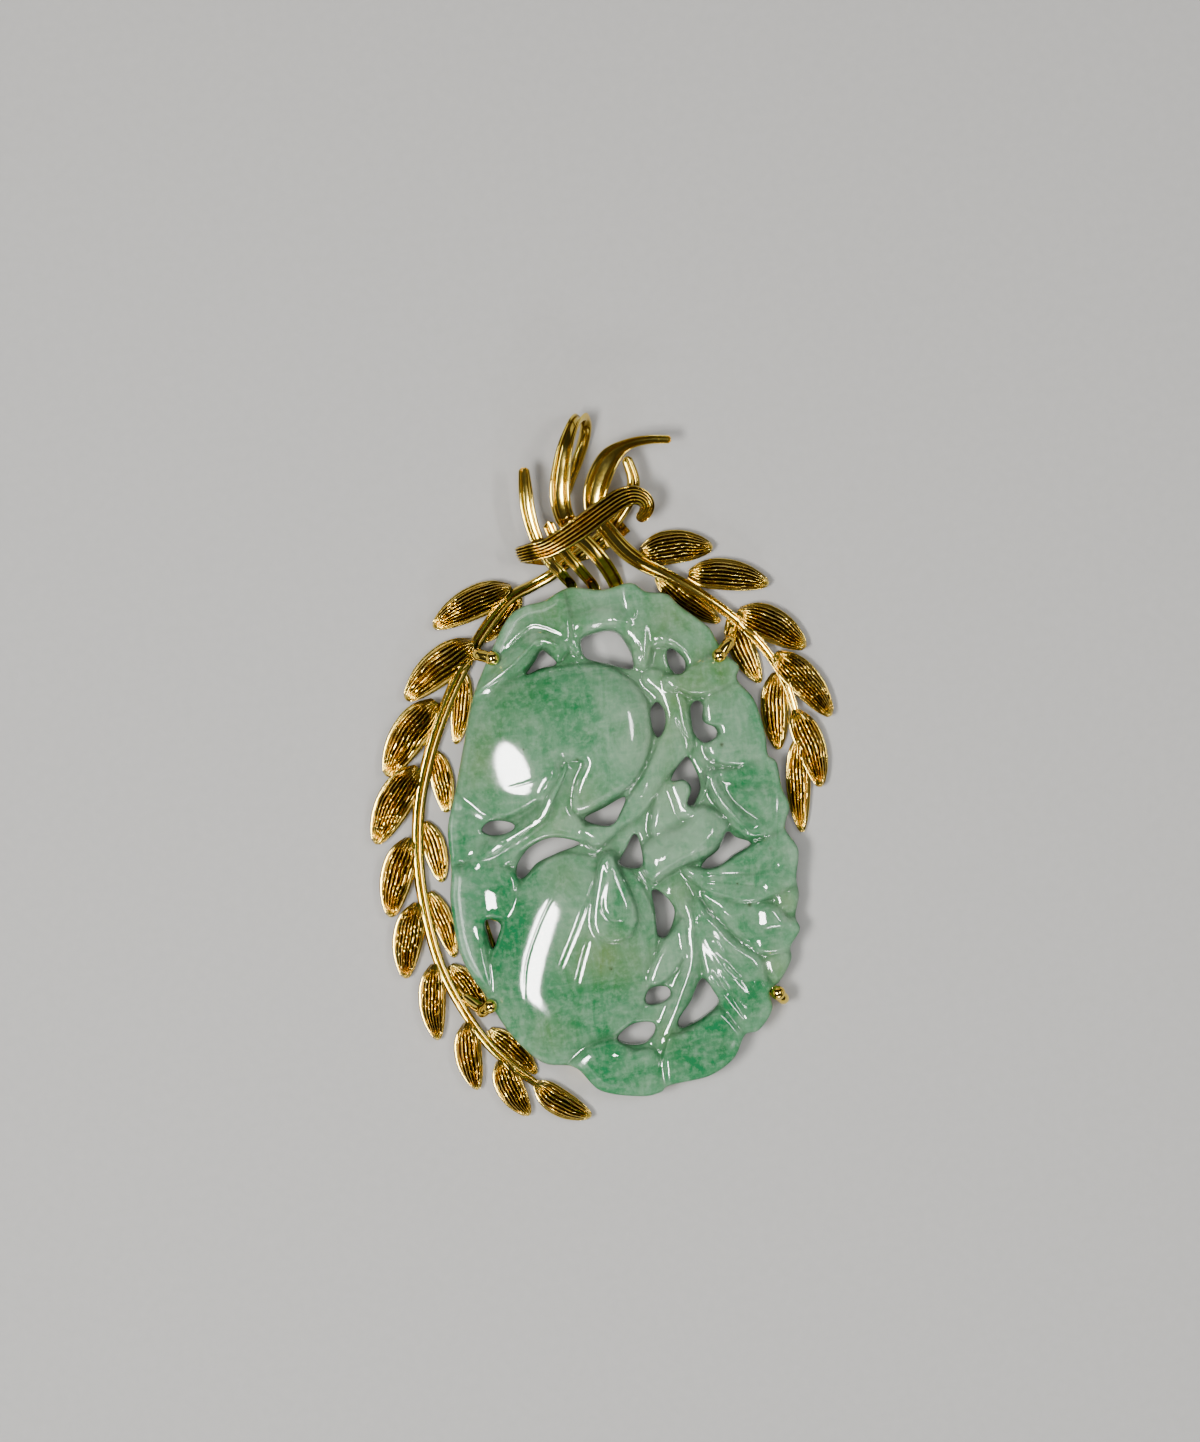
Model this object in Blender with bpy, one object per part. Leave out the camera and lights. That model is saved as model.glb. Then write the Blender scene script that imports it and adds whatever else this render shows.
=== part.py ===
"""Carved and pierced oval of green jadeite, two fruits on a vine among leaves, in a gold pendant mount.

The pendant lies on its back: +Z is its front, +Y points along the stone's long axis towards the bail, and the
origin is under the middle of its box. Plan positions (u, v) are in millimetres from the middle of the stone,
heights are in millimetres above the surface that the pendant lies on, and both become metres in place().
"""
import math
from collections import namedtuple

import bmesh
import bpy
import numpy as np
from mathutils import Vector
from mathutils.geometry import delaunay_2d_cdt

MM = 0.001
STONE_MIDDLE = (1.12, -9.49)
GAP = 0.3
SHARP_DEGREES = 45.0

# Colours
JADE_COLOUR = (0.30, 0.56, 0.38, 1.0)
GOLD_COLOUR = (0.83, 0.56, 0.20, 1.0)
JADE_ROUGHNESS = 0.18
GOLD_ROUGHNESS = 0.22

# Stone: the height of its flat back, heights above that back, and the spacing of its facets
STONE_BACK = 1.6
GROUND_HEIGHT = 2.3
EDGE_ROUND = 0.6
SKIRT_SLOPE = 2.2
FORM_SOFTNESS = 0.12
LINE_FADE_SHARE = 0.2
DOME_RISE = 0.8
DOME_HALF_WIDTH = 21.5
DOME_HALF_HEIGHT = 32.0
FACET = 1.12
EDGE_FACET = 1.35
CREASE_FACET = 1.0
CURVE_SPAN_STEPS = 4

STONE_OUTLINE = (
    (-2.4, 30.4), (1.3, 29.7), (4.7, 30.1), (6.4, 28.9), (8.8, 28.3), (10.1, 26.8), (13.0, 24.1),
    (13.8, 22.5), (14.7, 20.6), (16.1, 19.0), (15.7, 17.5), (17.4, 14.9), (18.2, 11.0), (18.2, 8.5),
    (19.1, 7.4), (19.4, 4.3), (20.0, 2.2), (19.2, -0.3), (20.4, -2.9), (19.8, -6.1), (19.9, -8.2),
    (19.2, -10.6), (19.5, -12.2), (18.2, -14.0), (18.1, -15.6), (16.4, -18.0), (15.1, -18.9),
    (15.2, -21.0), (13.4, -23.2), (11.7, -23.6), (10.1, -26.1), (7.0, -27.8), (2.4, -28.3),
    (1.2, -29.0), (-1.2, -29.2), (-5.7, -28.0), (-8.3, -25.0), (-12.0, -24.0), (-15.3, -20.3),
    (-17.6, -15.7), (-19.9, -10.7), (-20.4, -4.5), (-19.9, -0.6), (-19.7, 4.3), (-18.6, 7.7),
    (-16.8, 13.5), (-15.1, 18.9), (-12.4, 23.9), (-9.9, 27.7), (-7.8, 28.9), (-5.5, 29.2))

# Piercings between the carved forms, each a closed smooth curve through its points
PIERCINGS = {
    "under_top_arch": ((-1.7, 23.2), (-1.4, 24.4), (2.1, 24.7), (3.7, 22.2), (3.7, 20.2), (0.9, 21.2),
                       (-1.3, 22.0)),
    "upper_right": ((8.0, 21.6), (8.7, 21.9), (9.9, 20.5), (9.7, 19.2), (8.8, 19.0), (8.1, 20.0)),
    "upper_left": ((-6.4, 23.5), (-5.7, 22.9), (-4.9, 21.8), (-6.8, 21.5), (-8.5, 21.0), (-7.4, 22.3)),
    "beside_fruit": ((6.1, 16.0), (6.9, 14.9), (6.7, 13.0), (5.8, 11.9), (5.3, 13.2), (5.3, 15.0)),
    "vine_bend": ((10.0, 15.0), (10.7, 15.6), (11.4, 15.1), (11.2, 13.2), (12.5, 12.2), (12.5, 11.2),
                  (11.1, 10.7), (10.1, 11.8), (9.9, 13.4)),
    "round_bud": ((6.7, 6.8), (8.6, 9.2), (9.3, 8.6), (10.0, 5.8), (9.0, 3.8), (8.2, 3.9), (8.9, 5.6),
                  (8.2, 6.7)),
    "under_fruit": ((1.1, 5.5), (0.4, 3.8), (-0.7, 2.5), (-2.4, 2.7), (-3.8, 3.6), (-1.5, 4.5)),
    "left_leaf": ((-15.8, 3.6), (-14.9, 4.5), (-13.2, 4.4), (-12.0, 3.8), (-12.6, 3.1), (-14.6, 2.9)),
    "under_twig": ((-12.3, -2.2), (-12.1, -0.7), (-10.3, 1.1), (-7.6, 1.8), (-4.7, 0.8), (-7.4, 0.0),
                   (-9.9, -0.9), (-11.5, -2.3)),
    "beside_stalk": ((1.7, 1.1), (2.2, 0.1), (2.1, -2.7), (-0.3, -2.2), (0.6, -0.4)),
    "under_bud": ((12.4, 0.1), (13.4, -0.7), (15.0, -1.6), (13.0, -2.6), (11.0, -3.7), (9.1, -3.7),
                  (9.6, -2.9), (11.3, -1.8)),
    "beside_lower_fruit": ((3.0, -5.7), (4.1, -6.1), (5.3, -8.3), (4.2, -10.9), (3.1, -10.9), (3.1, -8.2)),
    "lower_left": ((-16.6, -6.8), (-15.0, -7.4), (-15.4, -8.8), (-16.2, -10.2), (-16.6, -8.6)),
    "beside_stem": ((0.7, -18.2), (1.4, -17.0), (3.2, -16.9), (3.7, -17.9), (2.6, -18.7), (1.2, -18.8)),
    "above_bottom_leaf": ((1.2, -20.9), (1.3, -22.0), (0.1, -23.1), (-1.6, -23.1), (-3.0, -22.2),
                          (-1.1, -20.8)),
    "right_of_stem": ((7.5, -16.5), (8.8, -18.4), (9.0, -19.6), (7.0, -21.0), (4.6, -21.9), (4.3, -20.9),
                      (5.9, -19.0)),
}

# A carved form stands rim above the stone's back at its edge and rises by crown within reach of that edge.
# Its surface leans: lean is its rise for each millimetre of u and of v, measured from its middle
Form = namedtuple("Form", "rim crown reach lean outline")
FORMS = {
    "vine": Form(2.8, 0.6, 1.3, (0.0, 0.0), (
        (-4.4, 2.4), (-2.6, 0.2), (0.2, 2.0), (3.2, 3.6), (6.4, 7.2), (9.6, 9.9), (9.7, 13.5), (9.4, 16.6),
        (8.0, 18.9), (5.9, 20.0), (4.8, 18.6), (7.0, 16.5), (7.3, 13.2), (5.4, 10.2), (3.4, 7.6), (1.6, 5.4),
        (-0.8, 3.1))),
    "top_arch": Form(2.6, 0.8, 1.5, (0.0, -0.09), (
        (5.4, 20.2), (6.4, 22.5), (6.8, 25.6), (7.2, 29.8), (2.0, 31.2), (-3.0, 31.8), (-6.4, 30.8),
        (-4.6, 26.6), (-3.5, 23.7), (-2.0, 22.6), (-1.4, 24.5), (1.8, 25.0), (3.7, 23.2), (4.0, 21.0))),
    "left_twig": Form(2.9, 0.8, 1.3, (0.0, 0.0), (
        (-19.0, -1.1), (-17.4, 1.2), (-13.4, 2.9), (-10.2, 4.4), (-8.5, 6.0), (-7.2, 7.8), (-5.6, 10.7),
        (-4.4, 10.3), (-3.3, 9.9), (-4.3, 8.0), (-4.9, 6.2), (-5.0, 4.8), (-4.1, 3.4), (-3.2, 1.7),
        (-4.8, 0.9), (-8.0, 1.7), (-11.4, 0.6), (-13.4, -0.9))),
    "upper_left_leaf": Form(2.6, 0.7, 1.3, (0.10, -0.12), (
        (-16.8, 18.0), (-14.6, 23.0), (-11.6, 28.6), (-7.4, 30.6), (-3.6, 31.0), (-2.6, 27.4), (-2.8, 24.2),
        (-4.8, 22.0), (-6.2, 23.9), (-9.0, 21.2), (-12.6, 19.2), (-15.2, 17.8))),
    "upper_fruit": Form(2.15, 0.95, 3.4, (0.0, 0.0), (
        (-19.4, 6.6), (-18.6, 10.0), (-17.3, 13.8), (-15.4, 18.2), (-13.2, 19.8), (-10.0, 20.8), (-4.6, 21.5),
        (0.4, 21.0), (3.4, 18.9), (5.0, 16.0), (5.1, 12.6), (3.9, 9.2), (1.6, 6.6), (-2.2, 4.6), (-4.8, 4.0),
        (-9.6, 3.9), (-13.8, 4.6), (-17.0, 5.6))),
    "left_leaf": Form(2.4, 0.6, 1.2, (-0.02, 0.0), (
        (-20.8, 0.0), (-20.8, 4.4), (-19.4, 8.2), (-15.4, 6.9), (-12.0, 4.6), (-13.4, 2.6), (-17.2, 0.7))),
    "lower_left_leaf": Form(2.5, 0.7, 1.3, (-0.01, 0.0), (
        (-21.4, -4.4), (-20.8, -0.6), (-18.2, -0.2), (-15.6, 0.0), (-12.6, -1.6), (-12.4, -4.6),
        (-13.8, -7.0), (-16.2, -6.7), (-16.9, -8.2), (-16.9, -10.4), (-16.8, -15.4), (-20.6, -11.4))),
    "lower_fruit": Form(2.65, 1.55, 7.0, (0.0, 0.03), (
        (-3.6, -0.9), (-7.2, -0.3), (-10.6, -1.9), (-13.0, -4.4), (-15.2, -8.2), (-16.8, -12.0),
        (-17.6, -15.8), (-16.4, -19.8), (-13.4, -23.6), (-10.4, -24.9), (-7.6, -23.8), (-5.2, -22.7),
        (-1.2, -20.7), (0.8, -17.6), (2.6, -12.4), (2.8, -8.4), (1.4, -4.0), (-1.2, -1.6))),
    "drop": Form(4.45, 0.25, 0.7, (0.0, 0.02), (
        (-1.2, -1.0), (-2.4, -1.4), (-3.3, -4.0), (-4.2, -7.4), (-4.3, -9.2), (-3.5, -10.5), (-1.8, -11.0),
        (-0.2, -10.4), (0.7, -9.0), (0.7, -7.2), (0.0, -4.6), (-0.8, -2.4))),
    "drop_heart": Form(4.62, 0.30, 1.2, (0.0, 0.0), (
        (-1.3, -2.8), (-2.1, -4.0), (-2.8, -5.8), (-2.9, -7.2), (-2.2, -8.3), (-1.1, -8.7), (-0.2, -8.3),
        (0.2, -7.2), (-0.2, -5.6), (-0.9, -3.6))),
    "upper_right_leaf": Form(2.7, 0.6, 0.9, (-0.05, -0.02), (
        (4.8, 30.8), (9.6, 29.8), (11.6, 27.8), (14.8, 24.0), (15.4, 20.8), (13.0, 18.4), (11.0, 18.0),
        (10.2, 19.4), (9.9, 21.0), (8.4, 22.3), (6.4, 22.4), (5.4, 25.0))),
    "side_leaf": Form(3.0, 0.8, 1.0, (-0.06, 0.02), (
        (7.2, 18.8), (9.0, 19.0), (11.0, 19.9), (14.2, 20.8), (16.8, 19.8), (17.0, 17.8), (15.6, 17.2),
        (13.9, 16.6), (12.1, 16.1), (10.4, 16.2), (9.0, 16.9), (7.6, 17.3))),
    "round_petal": Form(2.7, 0.6, 1.0, (-0.05, 0.0), (
        (11.4, 13.4), (11.6, 15.6), (13.4, 16.6), (16.0, 17.3), (18.6, 15.2), (19.4, 11.0), (19.4, 8.2),
        (16.8, 7.6), (14.8, 7.5), (12.8, 8.0), (11.4, 9.0), (11.2, 10.5), (12.8, 11.4), (12.7, 12.3),
        (11.5, 12.6))),
    "fan_petal": Form(2.7, 0.5, 0.8, (-0.05, 0.0), (
        (10.9, 7.3), (14.6, 7.3), (18.6, 8.3), (20.8, 6.6), (21.4, 2.4), (20.4, -0.2), (15.6, -1.0),
        (13.4, 0.2), (12.1, 2.4), (11.1, 4.8))),
    "bud": Form(3.2, 1.3, 1.9, (0.0, 0.0), (
        (2.4, -0.9), (2.2, -2.8), (3.2, -4.6), (5.2, -3.9), (7.2, -3.1), (10.0, -2.3), (12.0, -0.6),
        (12.7, 0.6), (12.2, 2.0), (10.4, 3.3), (8.9, 3.3), (8.0, 2.3), (6.6, 1.5), (4.6, 1.0), (3.2, 0.1))),
    "bud_leaf": Form(3.2, 0.6, 1.1, (0.03, 0.0), (
        (3.8, 0.8), (4.0, 2.8), (5.0, 5.4), (6.4, 6.9), (7.9, 6.8), (8.8, 5.8), (8.6, 3.9), (9.4, 3.2),
        (8.0, 1.8), (5.6, 0.6))),
    "bud_curl": Form(3.9, 0.8, 1.3, (0.0, 0.0), (
        (6.2, 6.2), (7.2, 6.9), (8.5, 6.4), (8.9, 5.0), (8.4, 3.9), (8.8, 3.0), (8.0, 2.2), (7.0, 2.6),
        (6.6, 4.2))),
    "long_leaf": Form(2.9, 0.6, 0.9, (-0.04, 0.02), (
        (7.0, -3.6), (10.6, -3.9), (15.0, -1.9), (19.4, -0.4), (21.4, -1.4), (21.8, -4.0), (20.4, -6.4),
        (18.0, -7.6), (15.6, -8.3), (13.4, -8.3), (11.2, -7.4), (9.2, -6.4))),
    "right_leaf": Form(2.5, 0.7, 1.2, (-0.03, 0.0), (
        (8.8, -6.6), (12.4, -8.0), (16.6, -8.7), (18.4, -10.6), (20.8, -11.4), (20.6, -13.2), (18.2, -14.4),
        (14.8, -14.5), (12.2, -12.4), (10.0, -9.6))),
    "falling_leaf": Form(2.6, 0.7, 1.2, (-0.03, 0.02), (
        (7.9, -7.2), (10.0, -9.8), (12.2, -12.6), (14.7, -15.0), (15.2, -17.6), (16.6, -20.0), (15.4, -23.8),
        (12.8, -24.6), (11.3, -23.1), (9.4, -20.0), (8.0, -16.8), (7.7, -12.0))),
    "upper_berry": Form(2.2, 0.5, 1.0, (0.0, 0.0), (
        (17.0, -8.2), (18.0, -7.2), (19.6, -7.6), (19.8, -9.2), (18.8, -10.2), (17.4, -9.6))),
    "lower_berry": Form(2.2, 0.6, 1.1, (0.0, 0.0), (
        (14.9, -15.2), (16.2, -14.5), (17.9, -14.7), (17.8, -16.4), (16.4, -17.9), (15.2, -17.2))),
    "stem_blade": Form(2.8, 0.6, 0.9, (-0.03, 0.0), (
        (6.1, -9.4), (6.2, -12.4), (4.6, -15.2), (2.2, -16.6), (1.2, -15.8), (3.2, -12.2), (4.8, -10.6))),
    "bottom_leaf": Form(2.6, 0.8, 1.4, (-0.02, 0.04), (
        (2.5, -22.9), (5.0, -22.3), (7.4, -21.0), (9.4, -20.3), (11.4, -22.8), (12.2, -24.6), (11.4, -27.0),
        (7.4, -29.4), (2.4, -30.0), (1.7, -26.4))),
    "bottom_curl": Form(2.6, 0.8, 1.4, (0.02, 0.05), (
        (-9.6, -25.8), (-7.6, -23.4), (-5.4, -22.5), (-3.2, -22.4), (-1.4, -23.7), (1.0, -24.0), (1.9, -26.4),
        (1.8, -30.0), (-2.0, -31.0), (-7.6, -29.4))),
}

# The forms whose crown is a parabola, not a quarter round
FRUITS = ("lower_fruit",)

# A swelling raises a form by rise along its spine, less half of fall times the distance from it squared
Swell = namedtuple("Swell", "rise fall spine")
SWELLS = {"upper_fruit": Swell(1.75, 0.034, ((-7.8, 11.8), (-1.5, 13.2)))}

# A notch in a form, within reach of which the form falls back to the share floor of its crown
Notch = namedtuple("Notch", "reach floor outline")
NOTCHES = {
    "upper_fruit": Notch(1.3, 0.0, (
        (-5.6, 10.9), (-4.4, 10.5), (-3.2, 10.0), (-4.3, 8.0), (-4.9, 6.2), (-5.0, 4.8), (-4.0, 3.2),
        (-9.0, 2.2), (-15.0, 2.2), (-15.2, 4.2), (-12.4, 4.8), (-9.9, 5.6), (-8.2, 6.6), (-7.0, 8.2))),
}

# A ridge, or a crease where its rise is negative, follows its points with the half-width and rise given
Line = namedtuple("Line", "half_width rise points")
LINES = (
    Line(0.9, 0.75, ((-17.4, -0.2), (-15.2, 0.9), (-13.0, 2.0), (-10.0, 3.3), (-8.3, 4.8), (-7.2, 6.7),
                     (-5.5, 9.6))),
    Line(0.9, 0.65, ((-15.0, 18.9), (-12.0, 20.9), (-9.8, 22.7), (-7.2, 24.5), (-5.6, 24.2), (-4.0, 23.2))),
    Line(0.9, 0.35, ((-2.6, 25.9), (0.0, 26.6), (2.2, 26.3), (4.4, 25.4))),
    Line(0.9, 0.95, ((6.3, -5.4), (6.9, -8.4), (7.0, -10.8), (6.7, -13.4), (5.8, -16.2), (4.2, -19.4),
                     (2.6, -22.2), (1.6, -25.0))),
    Line(0.7, 0.45, ((11.1, 8.0), (11.2, 5.4), (12.6, 2.8), (15.0, -0.2))),
    Line(0.8, 0.30, ((7.2, 24.0), (8.6, 22.4), (10.2, 19.8))),
    Line(1.1, 0.35, ((-14.9, -2.8), (-14.4, -5.6))),
    Line(1.7, 0.45, ((15.6, -9.6), (17.2, -11.8))),
    Line(1.2, 0.30, ((3.4, -3.2), (6.4, -1.6), (9.6, -0.4), (11.2, 0.8))),
    Line(0.7, -0.30, ((3.0, 0.1), (4.8, 1.1), (6.8, 1.6), (8.2, 2.6))),
    Line(0.8, -0.30, ((9.0, -4.6), (13.0, -5.0), (18.0, -4.4))),
    Line(0.8, -0.30, ((9.0, -5.6), (12.4, -6.4), (16.2, -6.9))),
    Line(0.8, -0.45, ((8.8, -6.9), (10.2, -9.4), (12.0, -11.8), (14.4, -13.6))),
    Line(0.7, -0.30, ((8.4, -9.4), (9.6, -12.4), (11.2, -15.4), (13.6, -19.4))),
    Line(0.7, -0.30, ((8.0, -11.4), (8.8, -14.6), (10.4, -18.0), (12.2, -21.4))),
    Line(0.8, -0.25, ((12.0, 6.2), (15.6, 5.0), (19.0, 4.8))),
    Line(0.8, -0.25, ((12.2, 5.0), (15.0, 2.4), (17.4, 0.4))),
    Line(0.8, -0.25, ((3.4, -23.6), (6.6, -24.0), (10.4, -24.6))),
    Line(0.7, -0.30, ((-19.9, 7.0), (-17.8, 6.0), (-15.6, 4.7))),
)

# Gold mount: the oval frame behind the stone
FRAME_HALF_WIDTH = 18.2
FRAME_HALF_HEIGHT = 28.2
FRAME_WIRE_WIDTH = 1.15
FRAME_WIRE_HEIGHT = 1.25
FRAME_SEGMENTS = 48

# Gold mount: leaves. Each runs from its foot to its tip with the width given
LEAF_SECTION = ((1.0, 0.0), (0.66, 0.76), (0.0, 1.0), (-0.66, 0.76), (-1.0, 0.0), (0.0, -0.5))
LEAF_STATIONS = ((0.0, 0.30), (0.12, 0.66), (0.36, 1.0), (0.64, 0.92), (0.88, 0.52), (1.0, 0.20))
LEAF_BACK_RATIO = 0.6
Leaf = namedtuple("Leaf", "width foot tip")

# How far a leaf stands above its middle line, and the height of that line at its foot and at its tip
OUTER = (1.5, 1.5, 1.3)
INNER = (0.75, 0.7, 0.5)
TUCKED = (0.75, 1.3, 0.5)
LEFT_OUTER_LEAVES = (
    Leaf(3.9, (-9.0, 31.2), (-18.7, 27.8)), Leaf(4.3, (-14.0, 25.4), (-22.9, 19.8)),
    Leaf(4.4, (-19.4, 19.2), (-26.2, 11.2)), Leaf(4.3, (-22.3, 11.8), (-28.4, 3.5)),
    Leaf(3.9, (-24.2, 3.7), (-27.7, -5.2)), Leaf(3.6, (-24.3, -3.9), (-26.8, -12.5)),
    Leaf(3.2, (-23.2, -11.2), (-23.9, -20.1)), Leaf(3.2, (-20.2, -18.4), (-20.0, -26.4)),
    Leaf(3.3, (-17.0, -23.2), (-14.4, -30.1)), Leaf(3.2, (-13.2, -26.5), (-7.2, -31.1)))
LEFT_INNER_LEAVES = (
    Leaf(2.7, (-8.2, 30.8), (-13.2, 25.4)), Leaf(2.5, (-15.9, 22.6), (-17.7, 13.9)),
    Leaf(2.8, (-20.4, 13.6), (-19.7, 6.1)), Leaf(2.8, (-22.4, 5.4), (-21.2, -1.9)),
    Leaf(2.5, (-22.8, -2.8), (-20.8, -10.8)), Leaf(2.7, (-21.4, -11.6), (-17.9, -18.0)),
    Leaf(2.5, (-17.8, -19.6), (-12.9, -25.4)))
RIGHT_OUTER_LEAVES = (
    Leaf(4.0, (6.2, 33.4), (14.8, 33.2)), Leaf(3.7, (11.6, 30.4), (20.8, 28.2)),
    Leaf(4.1, (16.8, 25.4), (24.2, 20.3)), Leaf(3.8, (20.5, 20.0), (26.2, 12.0)),
    Leaf(3.5, (22.0, 13.2), (24.0, 3.9)))
RIGHT_INNER_LEAVES = (
    Leaf(2.9, (7.9, 30.6), (14.6, 24.4)), Leaf(3.1, (15.9, 25.0), (18.4, 16.8)),
    Leaf(3.3, (20.4, 17.8), (19.6, 8.8)))
HIDDEN_LEAF = Leaf(2.9, (22.2, 10.2), (21.2, -1.1))

# Gold mount: stems. Each runs through its points (u, v, height of its middle, width)
LEFT_STEM = (
    (-13.0, -26.6, 1.3, 0.95), (-15.9, -23.9, 1.3, 1.1), (-18.4, -20.8, 1.3, 1.2), (-20.8, -16.3, 1.3, 1.22),
    (-22.6, -11.3, 1.3, 1.28), (-23.4, -6.3, 1.3, 1.35), (-23.7, -1.3, 1.3, 1.4), (-23.4, 3.7, 1.3, 1.45),
    (-22.4, 8.7, 1.3, 1.5), (-20.4, 14.2, 1.3, 1.55), (-17.9, 19.2, 1.3, 1.55), (-15.2, 23.5, 1.3, 1.5),
    (-12.6, 26.9, 1.3, 1.5), (-9.4, 30.0, 1.3, 1.5), (-6.6, 31.2, 1.4, 1.4), (-4.4, 32.1, 1.7, 1.4),
    (-2.4, 33.3, 1.85, 1.4), (0.2, 34.8, 2.0, 1.45), (2.8, 36.5, 2.3, 1.5), (5.2, 39.0, 3.2, 1.6),
    (6.5, 41.6, 3.9, 1.55), (6.0, 44.7, 4.2, 1.25))
RIGHT_STEM = (
    (22.1, 12.9, 1.4, 0.9), (21.4, 16.4, 1.4, 1.0), (20.0, 19.6, 1.4, 1.05), (17.9, 22.8, 1.4, 1.1),
    (15.1, 25.8, 1.4, 1.2), (12.2, 28.3, 1.5, 1.3), (9.4, 30.3, 1.8, 1.5), (6.6, 32.1, 2.4, 1.8),
    (4.6, 33.9, 3.3, 2.0), (3.0, 36.1, 4.2, 2.0), (1.7, 38.2, 4.8, 2.2), (1.8, 40.4, 5.1, 2.7),
    (2.7, 42.7, 5.2, 2.9), (4.2, 44.8, 5.2, 2.5), (6.3, 46.0, 5.0, 1.4), (8.7, 46.3, 4.7, 1.1),
    (11.4, 46.05, 4.3, 1.0))
BAIL_STEM = (
    (3.4, 28.9, 0.7, 1.7), (3.0, 30.5, 0.75, 1.8), (2.1, 32.5, 2.2, 1.85), (0.8, 34.5, 3.7, 1.9),
    (-0.9, 36.6, 4.8, 2.1), (-2.0, 38.8, 5.8, 2.3), (-2.15, 41.4, 6.4, 2.4), (-1.6, 44.2, 6.5, 2.2),
    (-0.7, 46.9, 6.4, 1.8), (0.5, 49.2, 5.4, 1.4), (1.4, 49.9, 3.8, 1.4), (1.8, 49.1, 2.1, 1.4),
    (1.4, 47.4, 1.1, 1.4), (0.4, 45.2, 0.75, 1.4), (-0.8, 43.0, 0.7, 1.4), (-1.6, 41.2, 0.7, 1.3))
MIDDLE_STEM = (
    (1.0, 28.9, 0.65, 1.26), (0.4, 30.4, 0.7, 1.3), (-0.3, 31.5, 2.1, 1.3), (-1.2, 32.8, 3.4, 1.35),
    (-2.2, 34.2, 4.2, 1.4), (-3.3, 36.2, 4.9, 1.4), (-3.95, 38.2, 5.1, 1.4))
SLIM_STEM = (
    (-1.7, 28.9, 0.65, 1.2), (-2.1, 30.7, 0.68, 1.25), (-2.4, 31.2, 1.5, 1.3), (-2.8, 31.7, 2.9, 1.3),
    (-3.2, 32.3, 3.7, 1.35), (-3.9, 33.2, 4.2, 1.4), (-4.7, 34.5, 4.5, 1.45), (-5.5, 36.6, 4.9, 1.55),
    (-6.0, 39.4, 5.2, 1.65), (-6.05, 42.0, 5.2, 1.65), (-5.95, 44.8, 4.9, 1.25))
STEM_STEP = 2.8
STRAND_STEP = 1.9
BRANCH_WIDTH = 1.7
BRANCH_HEIGHT = 1.35
STRAND_WIDTH = 2.1
SLIM_WIDTH = 1.4
RIGHT_STEM_HEIGHT = 1.3
STRAND_HEIGHT = 1.15
SLIM_HEIGHT = 0.95
CHANNEL_DEPTH = 0.35
BAIL_TURN_START = 41.0
BAIL_MIDDLE = (44.0, 3.5)
BAIL_LEAN = 0.35

# Gold mount: the tie, a ribbed strip bent once round the stems and curled at its end (u, v, height, width)
TIE_ROUTE = (
    (5.0, 37.0, 0.75, 2.0), (2.8, 35.6, 0.5, 2.0), (-0.4, 34.4, 0.47, 2.0), (-4.2, 34.25, 0.55, 2.0),
    (-6.6, 34.6, 1.45, 1.95), (-7.8, 34.8, 3.6, 1.95), (-6.6, 34.9, 5.75, 2.1), (-4.0, 35.3, 6.4, 2.4),
    (-0.6, 36.9, 6.8, 2.7), (2.6, 38.7, 6.8, 2.6), (5.6, 39.9, 6.4, 2.3), (7.8, 39.5, 5.0, 2.0),
    (8.4, 38.4, 3.6, 1.7), (7.6, 37.3, 2.6, 1.5), (6.6, 36.9, 2.4, 1.1))
TIE_WIDTH = 2.4
TIE_THICKNESS = 0.7
TIE_RIBS = 3
TIE_RIB_DEPTH = 0.22
TIE_STEP = 1.5
TIE_MIDDLE = (0.3, 3.7)
TIE_LEAN = (0.3, 2.4)

# Gold mount: claws. Each rises from its foot beside the stone and ends in a ball over the stone's edge
CLAW_RADIUS = 0.7
CLAW_BALL_RADIUS = 0.85
CLAW_SIDES = 6
CLAW_STEP = 1.1
CLAW_KNEE_HEIGHT = 2.6
CLAW_BEND_DROP = 0.7
Claw = namedtuple("Claw", "foot knee ball")
UPPER_LEFT_CLAW = Claw(((-15.0, 24.2, 1.3),), (-13.8, 23.9), (-12.2, 23.3))
LOWER_LEFT_CLAW = Claw(((-20.0, -15.6, 1.0),), (-18.2, -17.2), (-17.3, -16.7))
UPPER_RIGHT_CLAW = Claw(((16.0, 23.4, 1.0),), (15.3, 21.9), (13.9, 20.5))
LOWER_RIGHT_CLAW = Claw(((13.4, -16.2, 0.74), (15.2, -18.5, 0.74), (16.2, -19.6, 0.85)), (16.6, -19.9),
                        (16.1, -19.2))


def clear_scene():
    """Take every object out of the scene."""
    for old in list(bpy.data.objects):
        bpy.data.objects.remove(old, do_unlink=True)


def place(u, v, height):
    """World position in metres of a plan position and height in millimetres."""
    return Vector(((u + STONE_MIDDLE[0]) * MM, (v + STONE_MIDDLE[1]) * MM, height * MM))


def make_material(name, colour, roughness, metallic):
    """A plain Principled material."""
    material = bpy.data.materials.new(name)
    material.use_nodes = True
    shader = material.node_tree.nodes["Principled BSDF"]
    shader.inputs["Base Color"].default_value = colour
    shader.inputs["Roughness"].default_value = roughness
    shader.inputs["Metallic"].default_value = metallic
    material.diffuse_color = colour
    return material


def make_object(name, vertices, faces, material):
    """An object from plan positions with heights, faces given by index, all turned outwards."""
    mesh = bpy.data.meshes.new(name)
    mesh.from_pydata([place(*vertex) for vertex in vertices], [], faces)
    shape = bmesh.new()
    shape.from_mesh(mesh)
    bmesh.ops.triangulate(shape, faces=shape.faces[:])
    bmesh.ops.recalc_face_normals(shape, faces=shape.faces[:])
    shape.to_mesh(mesh)
    shape.free()
    mesh.materials.append(material)
    made = bpy.data.objects.new(name, mesh)
    bpy.context.scene.collection.objects.link(made)
    return made


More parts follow.
